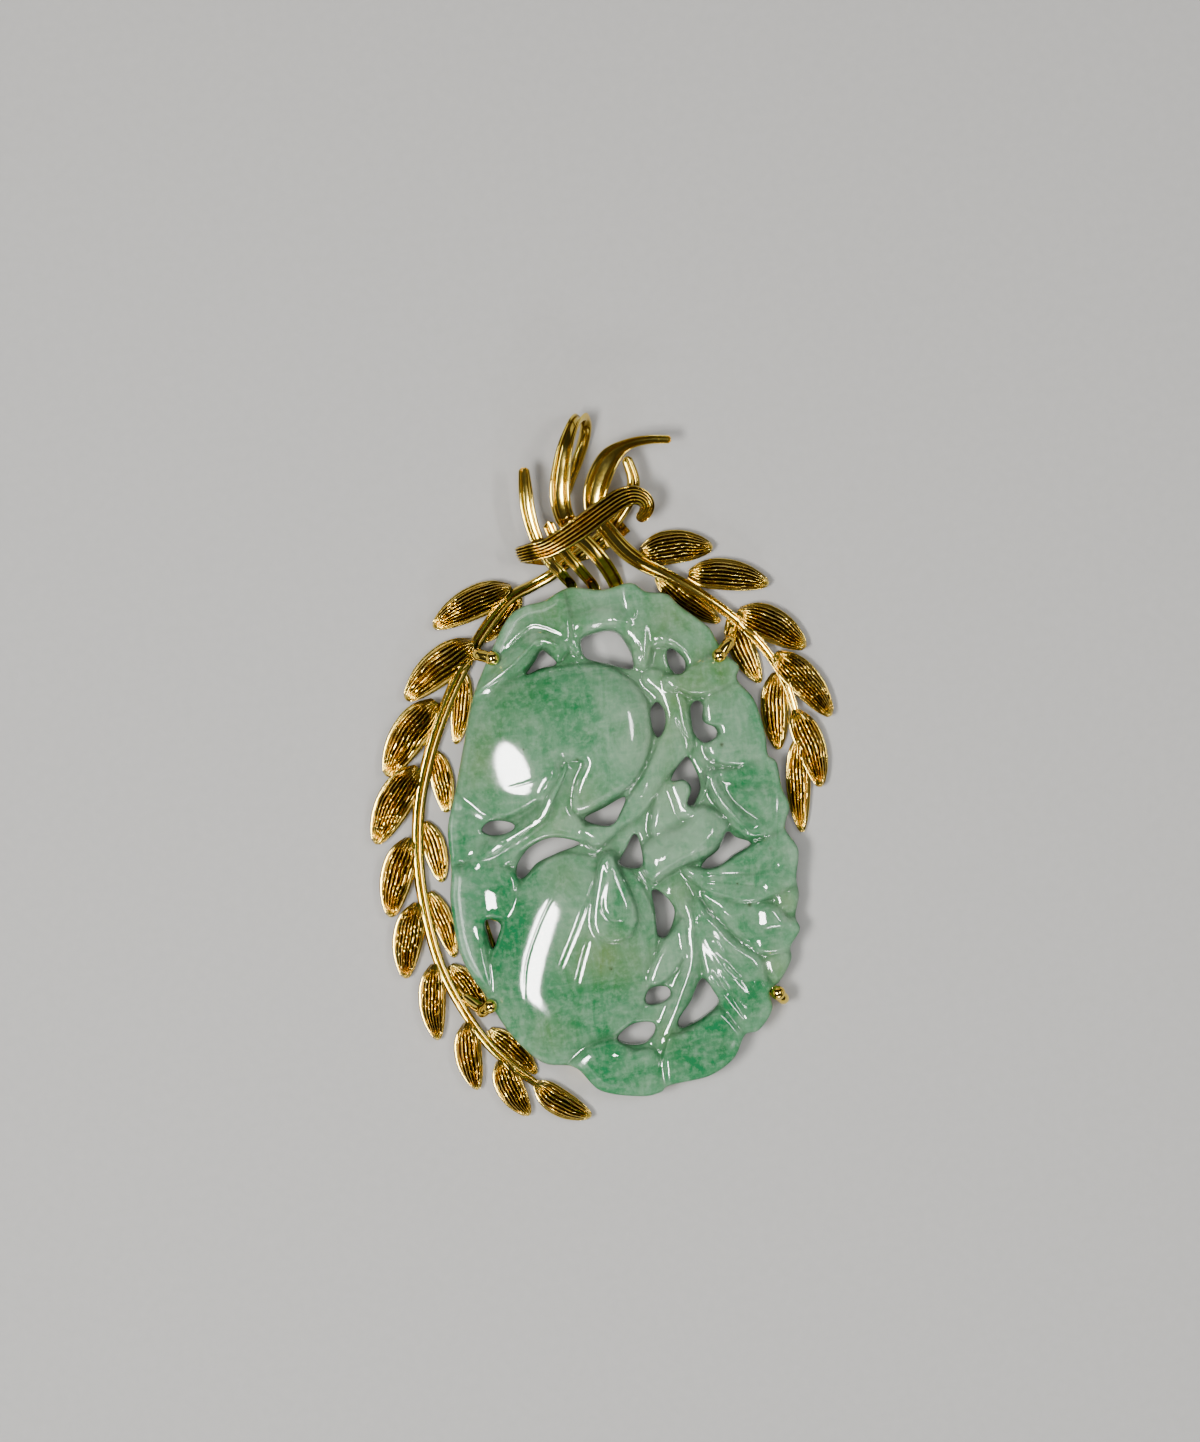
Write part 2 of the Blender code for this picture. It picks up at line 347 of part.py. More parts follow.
def curve_through(points, closed, span_steps=12):
    """Dense Catmull-Rom curve through points of any dimension."""
    knots = np.array(points, dtype=float)
    count = len(knots)
    if closed:
        ring = np.vstack([knots[-1], knots, knots[0], knots[1]])
        spans = count
    else:
        ring = np.vstack([2 * knots[0] - knots[1], knots, 2 * knots[-1] - knots[-2]])
        spans = count - 1
    steps = np.linspace(0.0, 1.0, span_steps, endpoint=False)[:, None]
    pieces = []
    for index in range(spans):
        a, b, c, d = ring[index:index + 4]
        pieces.append(0.5 * (2 * b + (c - a) * steps + (2 * a - 5 * b + 4 * c - d) * steps ** 2
                             + (3 * b - a - 3 * c + d) * steps ** 3))
    if not closed:
        pieces.append(knots[-1:])
    return np.vstack(pieces)


def resample(curve, step, closed):
    """Points at even steps along a dense curve, with its ends kept."""
    loop = np.vstack([curve, curve[:1]]) if closed else curve
    lengths = np.linalg.norm(np.diff(loop, axis=0), axis=1)
    travelled = np.concatenate([[0.0], np.cumsum(lengths)])
    count = max(3, round(travelled[-1] / step))
    marks = np.linspace(0.0, travelled[-1], count + 1)
    if closed:
        marks = marks[:-1]
    return np.column_stack([np.interp(marks, travelled, loop[:, axis]) for axis in range(loop.shape[1])])


def distance_to_path(points, path):
    """Distance from each plan point to a path of straight pieces, and its place along the path, 0 to 1."""
    nearest = np.full(len(points), np.inf)
    along = np.zeros(len(points))
    for index in range(len(path) - 1):
        start = path[index]
        run = path[index + 1] - start
        share = np.clip((points - start) @ run / max(run @ run, 1e-12), 0.0, 1.0)
        away = np.linalg.norm(points - start - share[:, None] * run, axis=1)
        closer = away < nearest
        nearest[closer] = away[closer]
        along[closer] = (index + share[closer]) / (len(path) - 1)
    return nearest, along


def inside_loop(points, loop):
    """True for each plan point inside a closed loop."""
    result = np.zeros(len(points), dtype=bool)
    following = np.roll(loop, -1, axis=0)
    for (u0, v0), (u1, v1) in zip(loop, following):
        if v0 == v1:
            continue
        crosses = (points[:, 1] < v0) != (points[:, 1] < v1)
        reach = u0 + (points[:, 1] - v0) * (u1 - u0) / (v1 - v0)
        result ^= crosses & (points[:, 0] < reach)
    return result


def signed_distance(points, loop):
    """Distance to a closed loop, positive inside it."""
    distance, _ = distance_to_path(points, np.vstack([loop, loop[:1]]))
    return np.where(inside_loop(points, loop), distance, -distance)


def quarter_round(share):
    """Rise of a quarter circle, 0 at share 0 and 1 from share 1 on."""
    return np.sqrt(1.0 - (1.0 - np.clip(share, 0.0, 1.0)) ** 2)


def relief_height(points, edge_distance):
    """Height of the carved front above the stone's back at each plan point."""
    height = np.full(len(points), GROUND_HEIGHT)
    for name, form in FORMS.items():
        depth = signed_distance(points, curve_through(form.outline, True, CURVE_SPAN_STEPS))
        share = np.clip(depth / form.reach, 0.0, 1.0)
        fullness = share * (2.0 - share) if name in FRUITS else quarter_round(share)
        if name in NOTCHES:
            notch = NOTCHES[name]
            away = -signed_distance(points, curve_through(notch.outline, True, CURVE_SPAN_STEPS))
            limit = notch.floor + (1.0 - notch.floor) * quarter_round(away / notch.reach)
            fullness = np.minimum(fullness, limit)
        lean = (points - np.mean(form.outline, axis=0)) @ np.array(form.lean)
        if name in SWELLS:
            swell = SWELLS[name]
            away, _ = distance_to_path(points, np.array(swell.spine))
            lean = lean + swell.rise - 0.5 * swell.fall * away ** 2
        shape = lean + form.rim + np.where(depth > 0.0, form.crown * fullness, SKIRT_SLOPE * depth)
        height = 0.5 * (height + shape + np.sqrt((height - shape) ** 2 + FORM_SOFTNESS ** 2))
    for line in LINES:
        away, along = distance_to_path(points, curve_through(line.points, False, CURVE_SPAN_STEPS))
        fade = np.sqrt(np.clip(np.minimum(along, 1.0 - along) / LINE_FADE_SHARE, 0.0, 1.0))
        height += line.rise * fade * np.exp(-(away / line.half_width) ** 2)
    u, v = points.T
    height += DOME_RISE * np.maximum(1.0 - (u / DOME_HALF_WIDTH) ** 2 - (v / DOME_HALF_HEIGHT) ** 2, 0.0)
    return height - EDGE_ROUND * (1.0 - quarter_round(edge_distance / EDGE_ROUND))


def stone_loops():
    """The stone's outline and its piercings as evenly stepped closed loops, outline first."""
    loops = [resample(curve_through(STONE_OUTLINE, True), EDGE_FACET, True)]
    for outline in PIERCINGS.values():
        loops.append(resample(curve_through(outline, True), EDGE_FACET, True))
    return loops


def depth_in_stone(points, loops):
    """Distance from each plan point to the nearest edge of the stone, negative outside it."""
    depth = signed_distance(points, loops[0])
    for hole in loops[1:]:
        depth = np.minimum(depth, -signed_distance(points, hole))
    return depth


def keep_apart(candidates, kept, spacing):
    """The candidates, in order, that stay at least spacing from every point kept so far."""
    chosen = list(kept)
    grid = {}
    for index, (u, v) in enumerate(chosen):
        grid.setdefault((int(u // spacing), int(v // spacing)), []).append(index)
    for u, v in candidates:
        cell = (int(u // spacing), int(v // spacing))
        near = [chosen[i] for du in (-1, 0, 1) for dv in (-1, 0, 1)
                for i in grid.get((cell[0] + du, cell[1] + dv), ())]
        if all(math.hypot(u - nu, v - nv) >= spacing for nu, nv in near):
            grid.setdefault(cell, []).append(len(chosen))
            chosen.append((u, v))
    return chosen


def facet_points(loops):
    """Plan points inside the stone: along the carved edges and lines first, then an even grid."""
    edge_points = [tuple(point) for loop in loops for point in loop]
    lines = [resample(curve_through(line.points, False), CREASE_FACET, False) for line in LINES]
    lines += [resample(curve_through(form.outline, True), CREASE_FACET, True) for form in FORMS.values()]
    carved = np.vstack(lines)
    half_width, half_height = np.abs(loops[0]).max(axis=0)
    row_step = FACET * math.sqrt(3.0) / 2.0
    rows = np.arange(-half_height, half_height, row_step)
    columns = np.arange(-half_width, half_width, FACET)
    grid = np.array([(u + (row % 2) * FACET / 2.0, v) for row, v in enumerate(rows) for u in columns])
    inside = [points[depth_in_stone(points, loops) > 0.45 * FACET] for points in (carved, grid)]
    kept = keep_apart(map(tuple, inside[0]), edge_points, 0.72 * CREASE_FACET)
    return keep_apart(map(tuple, inside[1]), kept, 0.80 * FACET)


def triangles_between(points, loops):
    """Triangles over the stone's plan, whose edges keep the outline and the piercings."""
    edges = []
    start = 0
    for loop in loops:
        count = len(loop)
        edges += [(start + i, start + (i + 1) % count) for i in range(count)]
        start += count
    result = delaunay_2d_cdt([Vector(point) for point in points], edges, [], 0, 1e-6)
    vertices = np.array([tuple(vertex) for vertex in result[0]])
    faces = [tuple(face) for face in result[2]]
    middles = np.array([vertices[list(face)].mean(axis=0) for face in faces])
    inside = depth_in_stone(middles, loops) > 0.0
    return vertices, [face for face, good in zip(faces, inside) if good], edges


def make_stone(material):
    """The carved and pierced stone: relief on its front, a flat back, upright edges between them."""
    loops = stone_loops()
    edge_count = sum(len(loop) for loop in loops)
    plan = facet_points(loops)
    front, front_faces, edges = triangles_between(plan, loops)
    back, back_faces, _ = triangles_between(plan[:edge_count], loops)
    edge_distance = np.maximum(depth_in_stone(front, loops), 0.0)
    edge_distance[:edge_count] = 0.0
    heights = STONE_BACK + relief_height(front, edge_distance)
    vertices = [(u, v, height) for (u, v), height in zip(front, heights)]
    offset = len(vertices)
    vertices += [(u, v, STONE_BACK) for u, v in back]
    faces = list(front_faces)
    faces += [tuple(offset + index for index in reversed(face)) for face in back_faces]
    faces += [(a, b, offset + b, offset + a) for a, b in edges]
    return make_object("jade_plaque", vertices, faces, material)


def resting_height(u, v, radius, loops):
    """Height of the middle of a ball over the stone's edge that stays a gap above its surface."""
    reach = radius + GAP
    offsets = np.linspace(-reach, reach, 17)
    points = np.array([(u + du, v + dv) for du in offsets for dv in offsets])
    depth = depth_in_stone(points, loops)
    away = np.hypot(points[:, 0] - u, points[:, 1] - v)
    over = (depth > 0.0) & (away < reach)
    surface = STONE_BACK + relief_height(points[over], depth[over])
    return float(np.max(surface + np.sqrt(reach ** 2 - away[over] ** 2)))


def sweep(path, section, up_hint, scales=None):
    """Rings of a section carried along a path, as vertices and faces with flat ends.

    A section point is (across, up) in millimetres. Up is the part of up_hint square to the path.
    """
    path = np.array(path, dtype=float)
    count = len(path)
    scales = scales if scales is not None else [1.0] * count
    tangents = np.gradient(path, axis=0)
    vertices = []
    for index in range(count):
        tangent = tangents[index] / np.linalg.norm(tangents[index])
        hint = np.array(up_hint(index / (count - 1), path[index]), dtype=float)
        up = hint - (hint @ tangent) * tangent
        up /= np.linalg.norm(up)
        across = np.cross(tangent, up)
        for offset_across, offset_up in section:
            vertices.append(tuple(path[index] + scales[index] * offset_across * across
                                  + math.sqrt(scales[index]) * offset_up * up))
    sides = len(section)
    faces = [tuple(range(sides)), tuple(range((count - 1) * sides, count * sides))]
    for ring in range(count - 1):
        for side in range(sides):
            a = ring * sides + side
            b = ring * sides + (side + 1) % sides
            faces.append((a, b, b + sides, a + sides))
    return vertices, faces


def upright(share, point):
    """Up direction of a stem that lies flat."""
    return (0.0, 0.0, 1.0)


def away_from_bail(share, point):
    """Up direction of the bail's strip: out of the loop that it makes."""
    middle_v, middle_height = BAIL_MIDDLE
    if point[1] < BAIL_TURN_START and share < 0.5:
        return (0.0, 0.0, 1.0)
    return (0.0, BAIL_LEAN * max(point[1] - middle_v, 0.0), point[2] - middle_height)


def out_of_tie(share, point):
    """Up direction of the tie's strip: away from the stems inside it."""
    outward = point[0] - TIE_MIDDLE[0]
    return (outward, TIE_LEAN[0] * outward, TIE_LEAN[1] * (point[2] - TIE_MIDDLE[1]))


def band_section(width, height, groove):
    """A strip with a rail along each side of its upper face and a groove between them."""
    half = width / 2.0
    rail = 0.26 * width
    top = height / 2.0
    return ((half, -0.5 * top), (half, 0.6 * top), (half - 0.5 * rail, top), (half - rail, top - groove),
            (rail - half, top - groove), (0.5 * rail - half, top), (-half, 0.6 * top), (-half, -0.5 * top),
            (-0.6 * half, -top), (0.6 * half, -top))


def stem_section(width, height):
    """A flattened wire with a rounded crest."""
    half = width / 2.0
    top = height / 2.0
    return ((half, -0.3 * top), (0.75 * half, 0.6 * top), (0.0, top), (-0.75 * half, 0.6 * top),
            (-half, -0.3 * top), (0.0, -top))


def rib_section(width, thickness, ribs, depth):
    """A strip with rounded ribs along its upper face."""
    half = width / 2.0
    top = thickness / 2.0
    pitch = width / ribs
    points = [(-half, -top)]
    for rib in range(ribs):
        start = -half + rib * pitch
        points += [(start, top - depth), (start + 0.5 * pitch, top)]
    points += [(half, top - depth), (half, -top)]
    return tuple(reversed(points))


def leaf_shape(leaf, size):
    """A domed pointed leaf as vertices and faces, its back flatter than its front."""
    height, foot_height, tip_height = size
    foot = np.array((*leaf.foot, foot_height))
    tip = np.array((*leaf.tip, tip_height))
    stations = np.array(LEAF_STATIONS)
    path = foot + stations[:, :1] * (tip - foot)
    vertices = []
    run = (tip - foot)[:2] / np.linalg.norm((tip - foot)[:2])
    side = np.array((run[1], -run[0], 0.0)) * leaf.width / 2.0
    above = np.array((0.0, 0.0, height))
    for middle, (_, fullness) in zip(path, stations):
        for across, up in LEAF_SECTION:
            rise = up * math.sqrt(fullness) if up > 0.0 else up * LEAF_BACK_RATIO * fullness
            vertices.append(tuple(middle + across * fullness * side + rise * above))
    sides = len(LEAF_SECTION)
    rings = len(LEAF_STATIONS)
    faces = [tuple(range(sides)), tuple(range((rings - 1) * sides, rings * sides))]
    for ring in range(rings - 1):
        for corner in range(sides):
            a = ring * sides + corner
            b = ring * sides + (corner + 1) % sides
            faces.append((a, b, b + sides, a + sides))
    return vertices, faces


def ball_shape(centre, radius):
    """A low-sided ball as vertices and faces."""
    shape = bmesh.new()
    bmesh.ops.create_uvsphere(shape, u_segments=8, v_segments=5, radius=radius)
    vertices = [tuple(np.array(vertex.co) + np.array(centre)) for vertex in shape.verts]
    faces = [tuple(vertex.index for vertex in face.verts) for face in shape.faces]
    shape.free()
    return vertices, faces


def round_section(radius, sides):
    """A regular polygon."""
    return tuple((radius * math.cos(math.tau * k / sides), radius * math.sin(math.tau * k / sides))
                 for k in range(sides))


def claw_shapes(claw, loops):
    """A bent wire and its ball."""
    ball_height = resting_height(*claw.ball, CLAW_BALL_RADIUS, loops)
    centre = (*claw.ball, ball_height)
    route = list(claw.foot)
    route += [(*claw.knee, CLAW_KNEE_HEIGHT), (*claw.knee, ball_height - CLAW_BEND_DROP), centre]
    path = resample(curve_through(route, False), CLAW_STEP, False)

    def side_hint(share, point):
        run = np.array(claw.ball) - np.array(claw.knee)
        return (-run[1], run[0], 0.0)

    wire = sweep(path, round_section(CLAW_RADIUS, CLAW_SIDES), side_hint)
    return [wire, ball_shape(centre, CLAW_BALL_RADIUS)]


def fuse(name, shapes, material):
    """One closed object from overlapping shapes, joined by Boolean unions."""
    body = make_object(name, *shapes[0], material)
    for shape in shapes[1:]:
        other = make_object(name + "_operand", *shape, material)
        join = body.modifiers.new("join", "BOOLEAN")
        join.operation = "UNION"
        join.solver = "EXACT"
        join.object = other
        evaluated = body.evaluated_get(bpy.context.evaluated_depsgraph_get())
        joined = bpy.data.meshes.new_from_object(evaluated)
        body.modifiers.clear()
        body.data = joined
        bpy.data.objects.remove(other, do_unlink=True)
    body.data.name = name
    return body


def smooth_sides(made, angle):
    """Round pieces are shaded smooth up to the angle given."""
    made.data.shade_smooth()
    made.data.set_sharp_from_angle(angle=math.radians(angle))


def make_back_frame(material, loops):
    """The oval flat wire behind the stone, with the lower right claw."""
    middle_width = FRAME_HALF_WIDTH - FRAME_WIRE_WIDTH / 2.0
    middle_height = FRAME_HALF_HEIGHT - FRAME_WIRE_WIDTH / 2.0
    vertices = []
    for index in range(FRAME_SEGMENTS):
        angle = math.tau * index / FRAME_SEGMENTS
        for side, height in ((1, 0.0), (1, FRAME_WIRE_HEIGHT), (-1, FRAME_WIRE_HEIGHT), (-1, 0.0)):
            vertices.append(((middle_width + side * FRAME_WIRE_WIDTH / 2.0) * math.cos(angle),
                             (middle_height + side * FRAME_WIRE_WIDTH / 2.0) * math.sin(angle), height))
    faces = []
    for index in range(FRAME_SEGMENTS):
        for corner in range(4):
            a = 4 * index + corner
            b = 4 * index + (corner + 1) % 4
            after = 4 * ((index + 1) % FRAME_SEGMENTS) - 4 * index
            faces.append((a, b, b + after, a + after))
    return fuse("back_frame", [(vertices, faces)] + claw_shapes(LOWER_RIGHT_CLAW, loops), material)


def make_left_branch(material, loops):
    """The long spray: its stem, its leaves and two claws."""
    shapes = [strand(LEFT_STEM, STEM_STEP, BRANCH_WIDTH, stem_section(BRANCH_WIDTH, BRANCH_HEIGHT), upright)]
    shapes += [leaf_shape(leaf, OUTER) for leaf in LEFT_OUTER_LEAVES]
    shapes += [leaf_shape(leaf, INNER) for leaf in LEFT_INNER_LEAVES]
    shapes += claw_shapes(UPPER_LEFT_CLAW, loops) + claw_shapes(LOWER_LEFT_CLAW, loops)
    return fuse("left_branch", shapes, material)


def make_right_branch(material, loops):
    """The short spray: its stem, which sweeps to the right above the tie, its leaves and one claw."""
    section = band_section(STRAND_WIDTH, RIGHT_STEM_HEIGHT, CHANNEL_DEPTH)
    shapes = [strand(RIGHT_STEM, STEM_STEP, STRAND_WIDTH, section, upright)]
    shapes += [leaf_shape(leaf, OUTER) for leaf in RIGHT_OUTER_LEAVES]
    shapes += [leaf_shape(leaf, INNER) for leaf in RIGHT_INNER_LEAVES]
    shapes.append(leaf_shape(HIDDEN_LEAF, TUCKED))
    shapes += claw_shapes(UPPER_RIGHT_CLAW, loops)
    return fuse("right_branch", shapes, material)


def strand(route, step, width, section, up_hint):
    """One stem along its route, whose section has the width given and is scaled to the route's own width."""
    path = resample(curve_through(route, False), step, False)
    return sweep(path[:, :3], section, up_hint, path[:, 3] / width)


def make_strand(name, route, width, section, up_hint, material):
    """One of the stems that run from under the stone's top through the tie."""
    return make_object(name, *strand(route, STRAND_STEP, width, section, up_hint), material)


def make_tie(material):
    """The ribbed strip round the stems."""
    section = rib_section(TIE_WIDTH, TIE_THICKNESS, TIE_RIBS, TIE_RIB_DEPTH)
    return make_object("tie_band", *strand(TIE_ROUTE, TIE_STEP, TIE_WIDTH, section, out_of_tie), material)


def main():
    """Build every piece of the pendant."""
    clear_scene()
    jade = make_material("jade", JADE_COLOUR, JADE_ROUGHNESS, 0.0)
    gold = make_material("gold", GOLD_COLOUR, GOLD_ROUGHNESS, 1.0)
    loops = stone_loops()
    made = [make_stone(jade), make_back_frame(gold, loops), make_left_branch(gold, loops),
            make_right_branch(gold, loops), make_tie(gold)]
    wide = band_section(STRAND_WIDTH, STRAND_HEIGHT, CHANNEL_DEPTH)
    slim = band_section(SLIM_WIDTH, SLIM_HEIGHT, CHANNEL_DEPTH)
    made.append(make_strand("bail_stem", BAIL_STEM, STRAND_WIDTH, wide, away_from_bail, gold))
    made.append(make_strand("middle_stem", MIDDLE_STEM, SLIM_WIDTH, slim, upright, gold))
    made.append(make_strand("slim_stem", SLIM_STEM, SLIM_WIDTH, slim, upright, gold))
    for piece in made:
        smooth_sides(piece, SHARP_DEGREES)


main()
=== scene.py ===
"""Looks of the jade plaque in its gold leaf-spray pendant mount, lying on its back on a pale floor.

Plan positions (u, v) are in millimetres from the middle of the stone, u to the right and v towards the bail.
Heights are in millimetres above the floor. place() turns both into metres in the frame's coordinates.
"""
import math
from collections import namedtuple

import bmesh
import bpy
import numpy as np
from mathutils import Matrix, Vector
from mathutils.geometry import delaunay_2d_cdt


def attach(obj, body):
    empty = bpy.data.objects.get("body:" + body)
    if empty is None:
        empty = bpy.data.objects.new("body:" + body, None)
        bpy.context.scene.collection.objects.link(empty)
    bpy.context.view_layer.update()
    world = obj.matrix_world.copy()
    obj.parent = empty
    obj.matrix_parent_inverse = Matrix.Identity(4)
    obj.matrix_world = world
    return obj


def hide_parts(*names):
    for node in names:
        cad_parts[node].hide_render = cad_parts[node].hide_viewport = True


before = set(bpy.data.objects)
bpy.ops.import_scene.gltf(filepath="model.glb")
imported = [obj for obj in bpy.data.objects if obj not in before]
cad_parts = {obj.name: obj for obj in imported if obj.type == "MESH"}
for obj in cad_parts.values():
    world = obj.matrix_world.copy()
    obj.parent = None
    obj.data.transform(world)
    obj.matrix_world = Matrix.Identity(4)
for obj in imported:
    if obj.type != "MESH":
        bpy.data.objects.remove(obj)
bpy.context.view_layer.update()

MM = 0.001
TINY = 1e-12
STONE_MIDDLE = (1.12, -9.49)

# Camera: what it aims at, how far the photograph is turned, the tall side of its field, its distance, and the
# nearest that it shows, in metres
CAMERA_AIM = (-0.67, 14.6, 3.0)
CAMERA_TURN_DEGREES = -6.85
CAMERA_FIELD_HEIGHT = 167.7
CAMERA_DISTANCE = 560.0
SENSOR_SIZE = 36.0
CAMERA_NEAR = 0.01

# Stone: spacing of the height field, of the outline's points and of the surface's points
FIELD_STEP = 0.1
FIELD_U = np.arange(-21.6, 21.6, FIELD_STEP)
FIELD_V = np.arange(-30.6, 31.6, FIELD_STEP)
COARSE_STEPS = 6
EDGE_STEP = 0.32
SURFACE_STEP = 0.205
ROUNDING_RINGS = (0.03, 0.1, 0.2, 0.32)
RING_KEPT_SHARE = 0.8
GRID_GAP_SHARE = 0.6
BACK_CHAMFER = 0.14
FLAT_BACK_NORMAL = -0.5
SHARP_DEGREES = 50.0
HOLE_REACH = 2.5
PLAN_TOLERANCE = 1e-7

# Stone: points along the fine lines. The rows are in half-widths of the line
LINE_POINT_STEP = 0.2
LINE_POINT_GAP = 0.07
LINE_EDGE_GAP = 0.1
LINE_CLEARANCE = 0.08
LINE_POINT_ROWS = (-1.8, -1.2, -0.6, 0.0, 0.6, 1.2, 1.8)
CREST_POINT_ROWS = (-1.8, -1.25, -0.8, -0.4, 0.0, 0.4, 0.8, 1.25, 1.8)

# Stone: what the material reads. Valleys lie below the field as blurred by their reach, and the material
# paints shade into them
VALLEY_REACH = 0.8
VALLEY_FULL = 0.35
RIM_REACH = 1.4

# Stone: the height of its flat back and heights above that back
STONE_BACK = 1.6
GROUND_HEIGHT = 2.3
EDGE_ROUND = 0.42
EDGE_DROP = 0.6
SKIRT_SLOPE = 3.2
FORM_SOFTNESS = 0.1
FORM_MARGIN = 1.0
POLISH_RADIUS = 0.1
LINE_REACH = 3.0
LINE_FADE_SHARE = 0.2
FINE_FADE_SHARE = 0.25
CREST_FADE_SHARE = 0.08
RIDGE_SHARPNESS = 4.0
CREST_SHARPNESS = 8.0
GROOVE_SHARPNESS = 2.0
CREST_LEAN = (0.17, 0.05)
DOME_RISE = 0.8
DOME_HALF_WIDTH = 21.5
DOME_HALF_HEIGHT = 32.0

STONE_OUTLINE = (
    (-2.4, 30.4), (1.3, 29.7), (4.7, 30.1), (6.4, 28.9), (8.8, 28.3), (10.1, 26.8), (13.0, 24.1),
    (13.8, 22.5), (14.7, 20.6), (16.1, 19.0), (15.7, 17.5), (17.4, 14.9), (18.2, 11.0), (18.2, 8.5),
    (19.1, 7.4), (19.4, 4.3), (20.0, 2.2), (19.2, -0.3), (20.4, -2.9), (19.8, -6.1), (19.9, -8.2),
    (19.2, -10.6), (19.5, -12.2), (18.2, -14.0), (18.1, -15.6), (16.4, -18.0), (15.1, -18.9),
    (15.2, -21.0), (13.4, -23.2), (11.7, -23.6), (10.1, -26.1), (7.0, -27.8), (2.4, -28.3),
    (1.2, -29.0), (-1.2, -29.2), (-5.7, -28.0), (-8.3, -25.0), (-12.0, -24.0), (-15.3, -20.3),
    (-17.6, -15.7), (-19.9, -10.7), (-20.4, -4.5), (-19.9, -0.6), (-19.7, 4.3), (-18.6, 7.7),
    (-16.8, 13.5), (-15.1, 18.9), (-12.4, 23.9), (-9.9, 27.7), (-7.8, 28.9), (-5.5, 29.2))

# Piercings between the carved forms, each a closed smooth curve through its points
PIERCINGS = {
    "under_top_arch": ((-1.7, 23.2), (-1.4, 24.4), (2.1, 24.7), (3.7, 22.2), (3.7, 20.2), (0.9, 21.2),
                       (-1.3, 22.0)),
    "upper_right": ((8.0, 21.6), (8.7, 21.9), (9.9, 20.5), (9.7, 19.2), (8.8, 19.0), (8.1, 20.0)),
    "upper_left": ((-6.4, 23.5), (-5.7, 22.9), (-4.9, 21.8), (-6.8, 21.5), (-8.5, 21.0), (-7.4, 22.3)),
    "beside_fruit": ((6.1, 16.0), (6.9, 14.9), (6.7, 13.0), (5.8, 11.9), (5.3, 13.2), (5.3, 15.0)),
    "vine_bend": ((10.0, 15.0), (10.7, 15.6), (11.4, 15.1), (11.2, 13.2), (12.5, 12.2), (12.5, 11.2),
                  (11.1, 10.7), (10.1, 11.8), (9.9, 13.4)),
    "round_bud": ((6.7, 6.8), (8.6, 9.2), (9.3, 8.6), (10.0, 5.8), (9.0, 3.8), (8.2, 3.9), (8.9, 5.6),
                  (8.2, 6.7)),
    "under_fruit": ((1.1, 5.5), (0.4, 3.8), (-0.7, 2.5), (-2.4, 2.7), (-3.8, 3.6), (-1.5, 4.5)),
    "left_leaf": ((-15.8, 3.6), (-14.9, 4.5), (-13.2, 4.4), (-12.0, 3.8), (-12.6, 3.1), (-14.6, 2.9)),
    "under_twig": ((-12.3, -2.2), (-12.1, -0.7), (-10.3, 1.1), (-7.6, 1.8), (-4.7, 0.8), (-7.4, 0.0),
                   (-9.9, -0.9), (-11.5, -2.3)),
    "beside_stalk": ((1.7, 1.1), (2.2, 0.1), (2.1, -2.7), (-0.3, -2.2), (0.6, -0.4)),
    "under_bud": ((12.4, 0.1), (13.4, -0.7), (15.0, -1.6), (13.0, -2.6), (11.0, -3.7), (9.1, -3.7),
                  (9.6, -2.9), (11.3, -1.8)),
    "beside_lower_fruit": ((3.0, -5.7), (4.1, -6.1), (5.3, -8.3), (4.2, -10.9), (3.1, -10.9), (3.1, -8.2)),
    "lower_left": ((-16.6, -6.8), (-15.0, -7.4), (-15.4, -8.8), (-16.2, -10.2), (-16.6, -8.6)),
    "beside_stem": ((0.7, -18.2), (1.4, -17.0), (3.2, -16.9), (3.7, -17.9), (2.6, -18.7), (1.2, -18.8)),
    "above_bottom_leaf": ((1.2, -20.9), (1.3, -22.0), (0.1, -23.1), (-1.6, -23.1), (-3.0, -22.2),
                          (-1.1, -20.8)),
    "right_of_stem": ((7.5, -16.5), (8.8, -18.4), (9.0, -19.6), (7.0, -21.0), (4.6, -21.9), (4.3, -20.9),
                      (5.9, -19.0)),
}

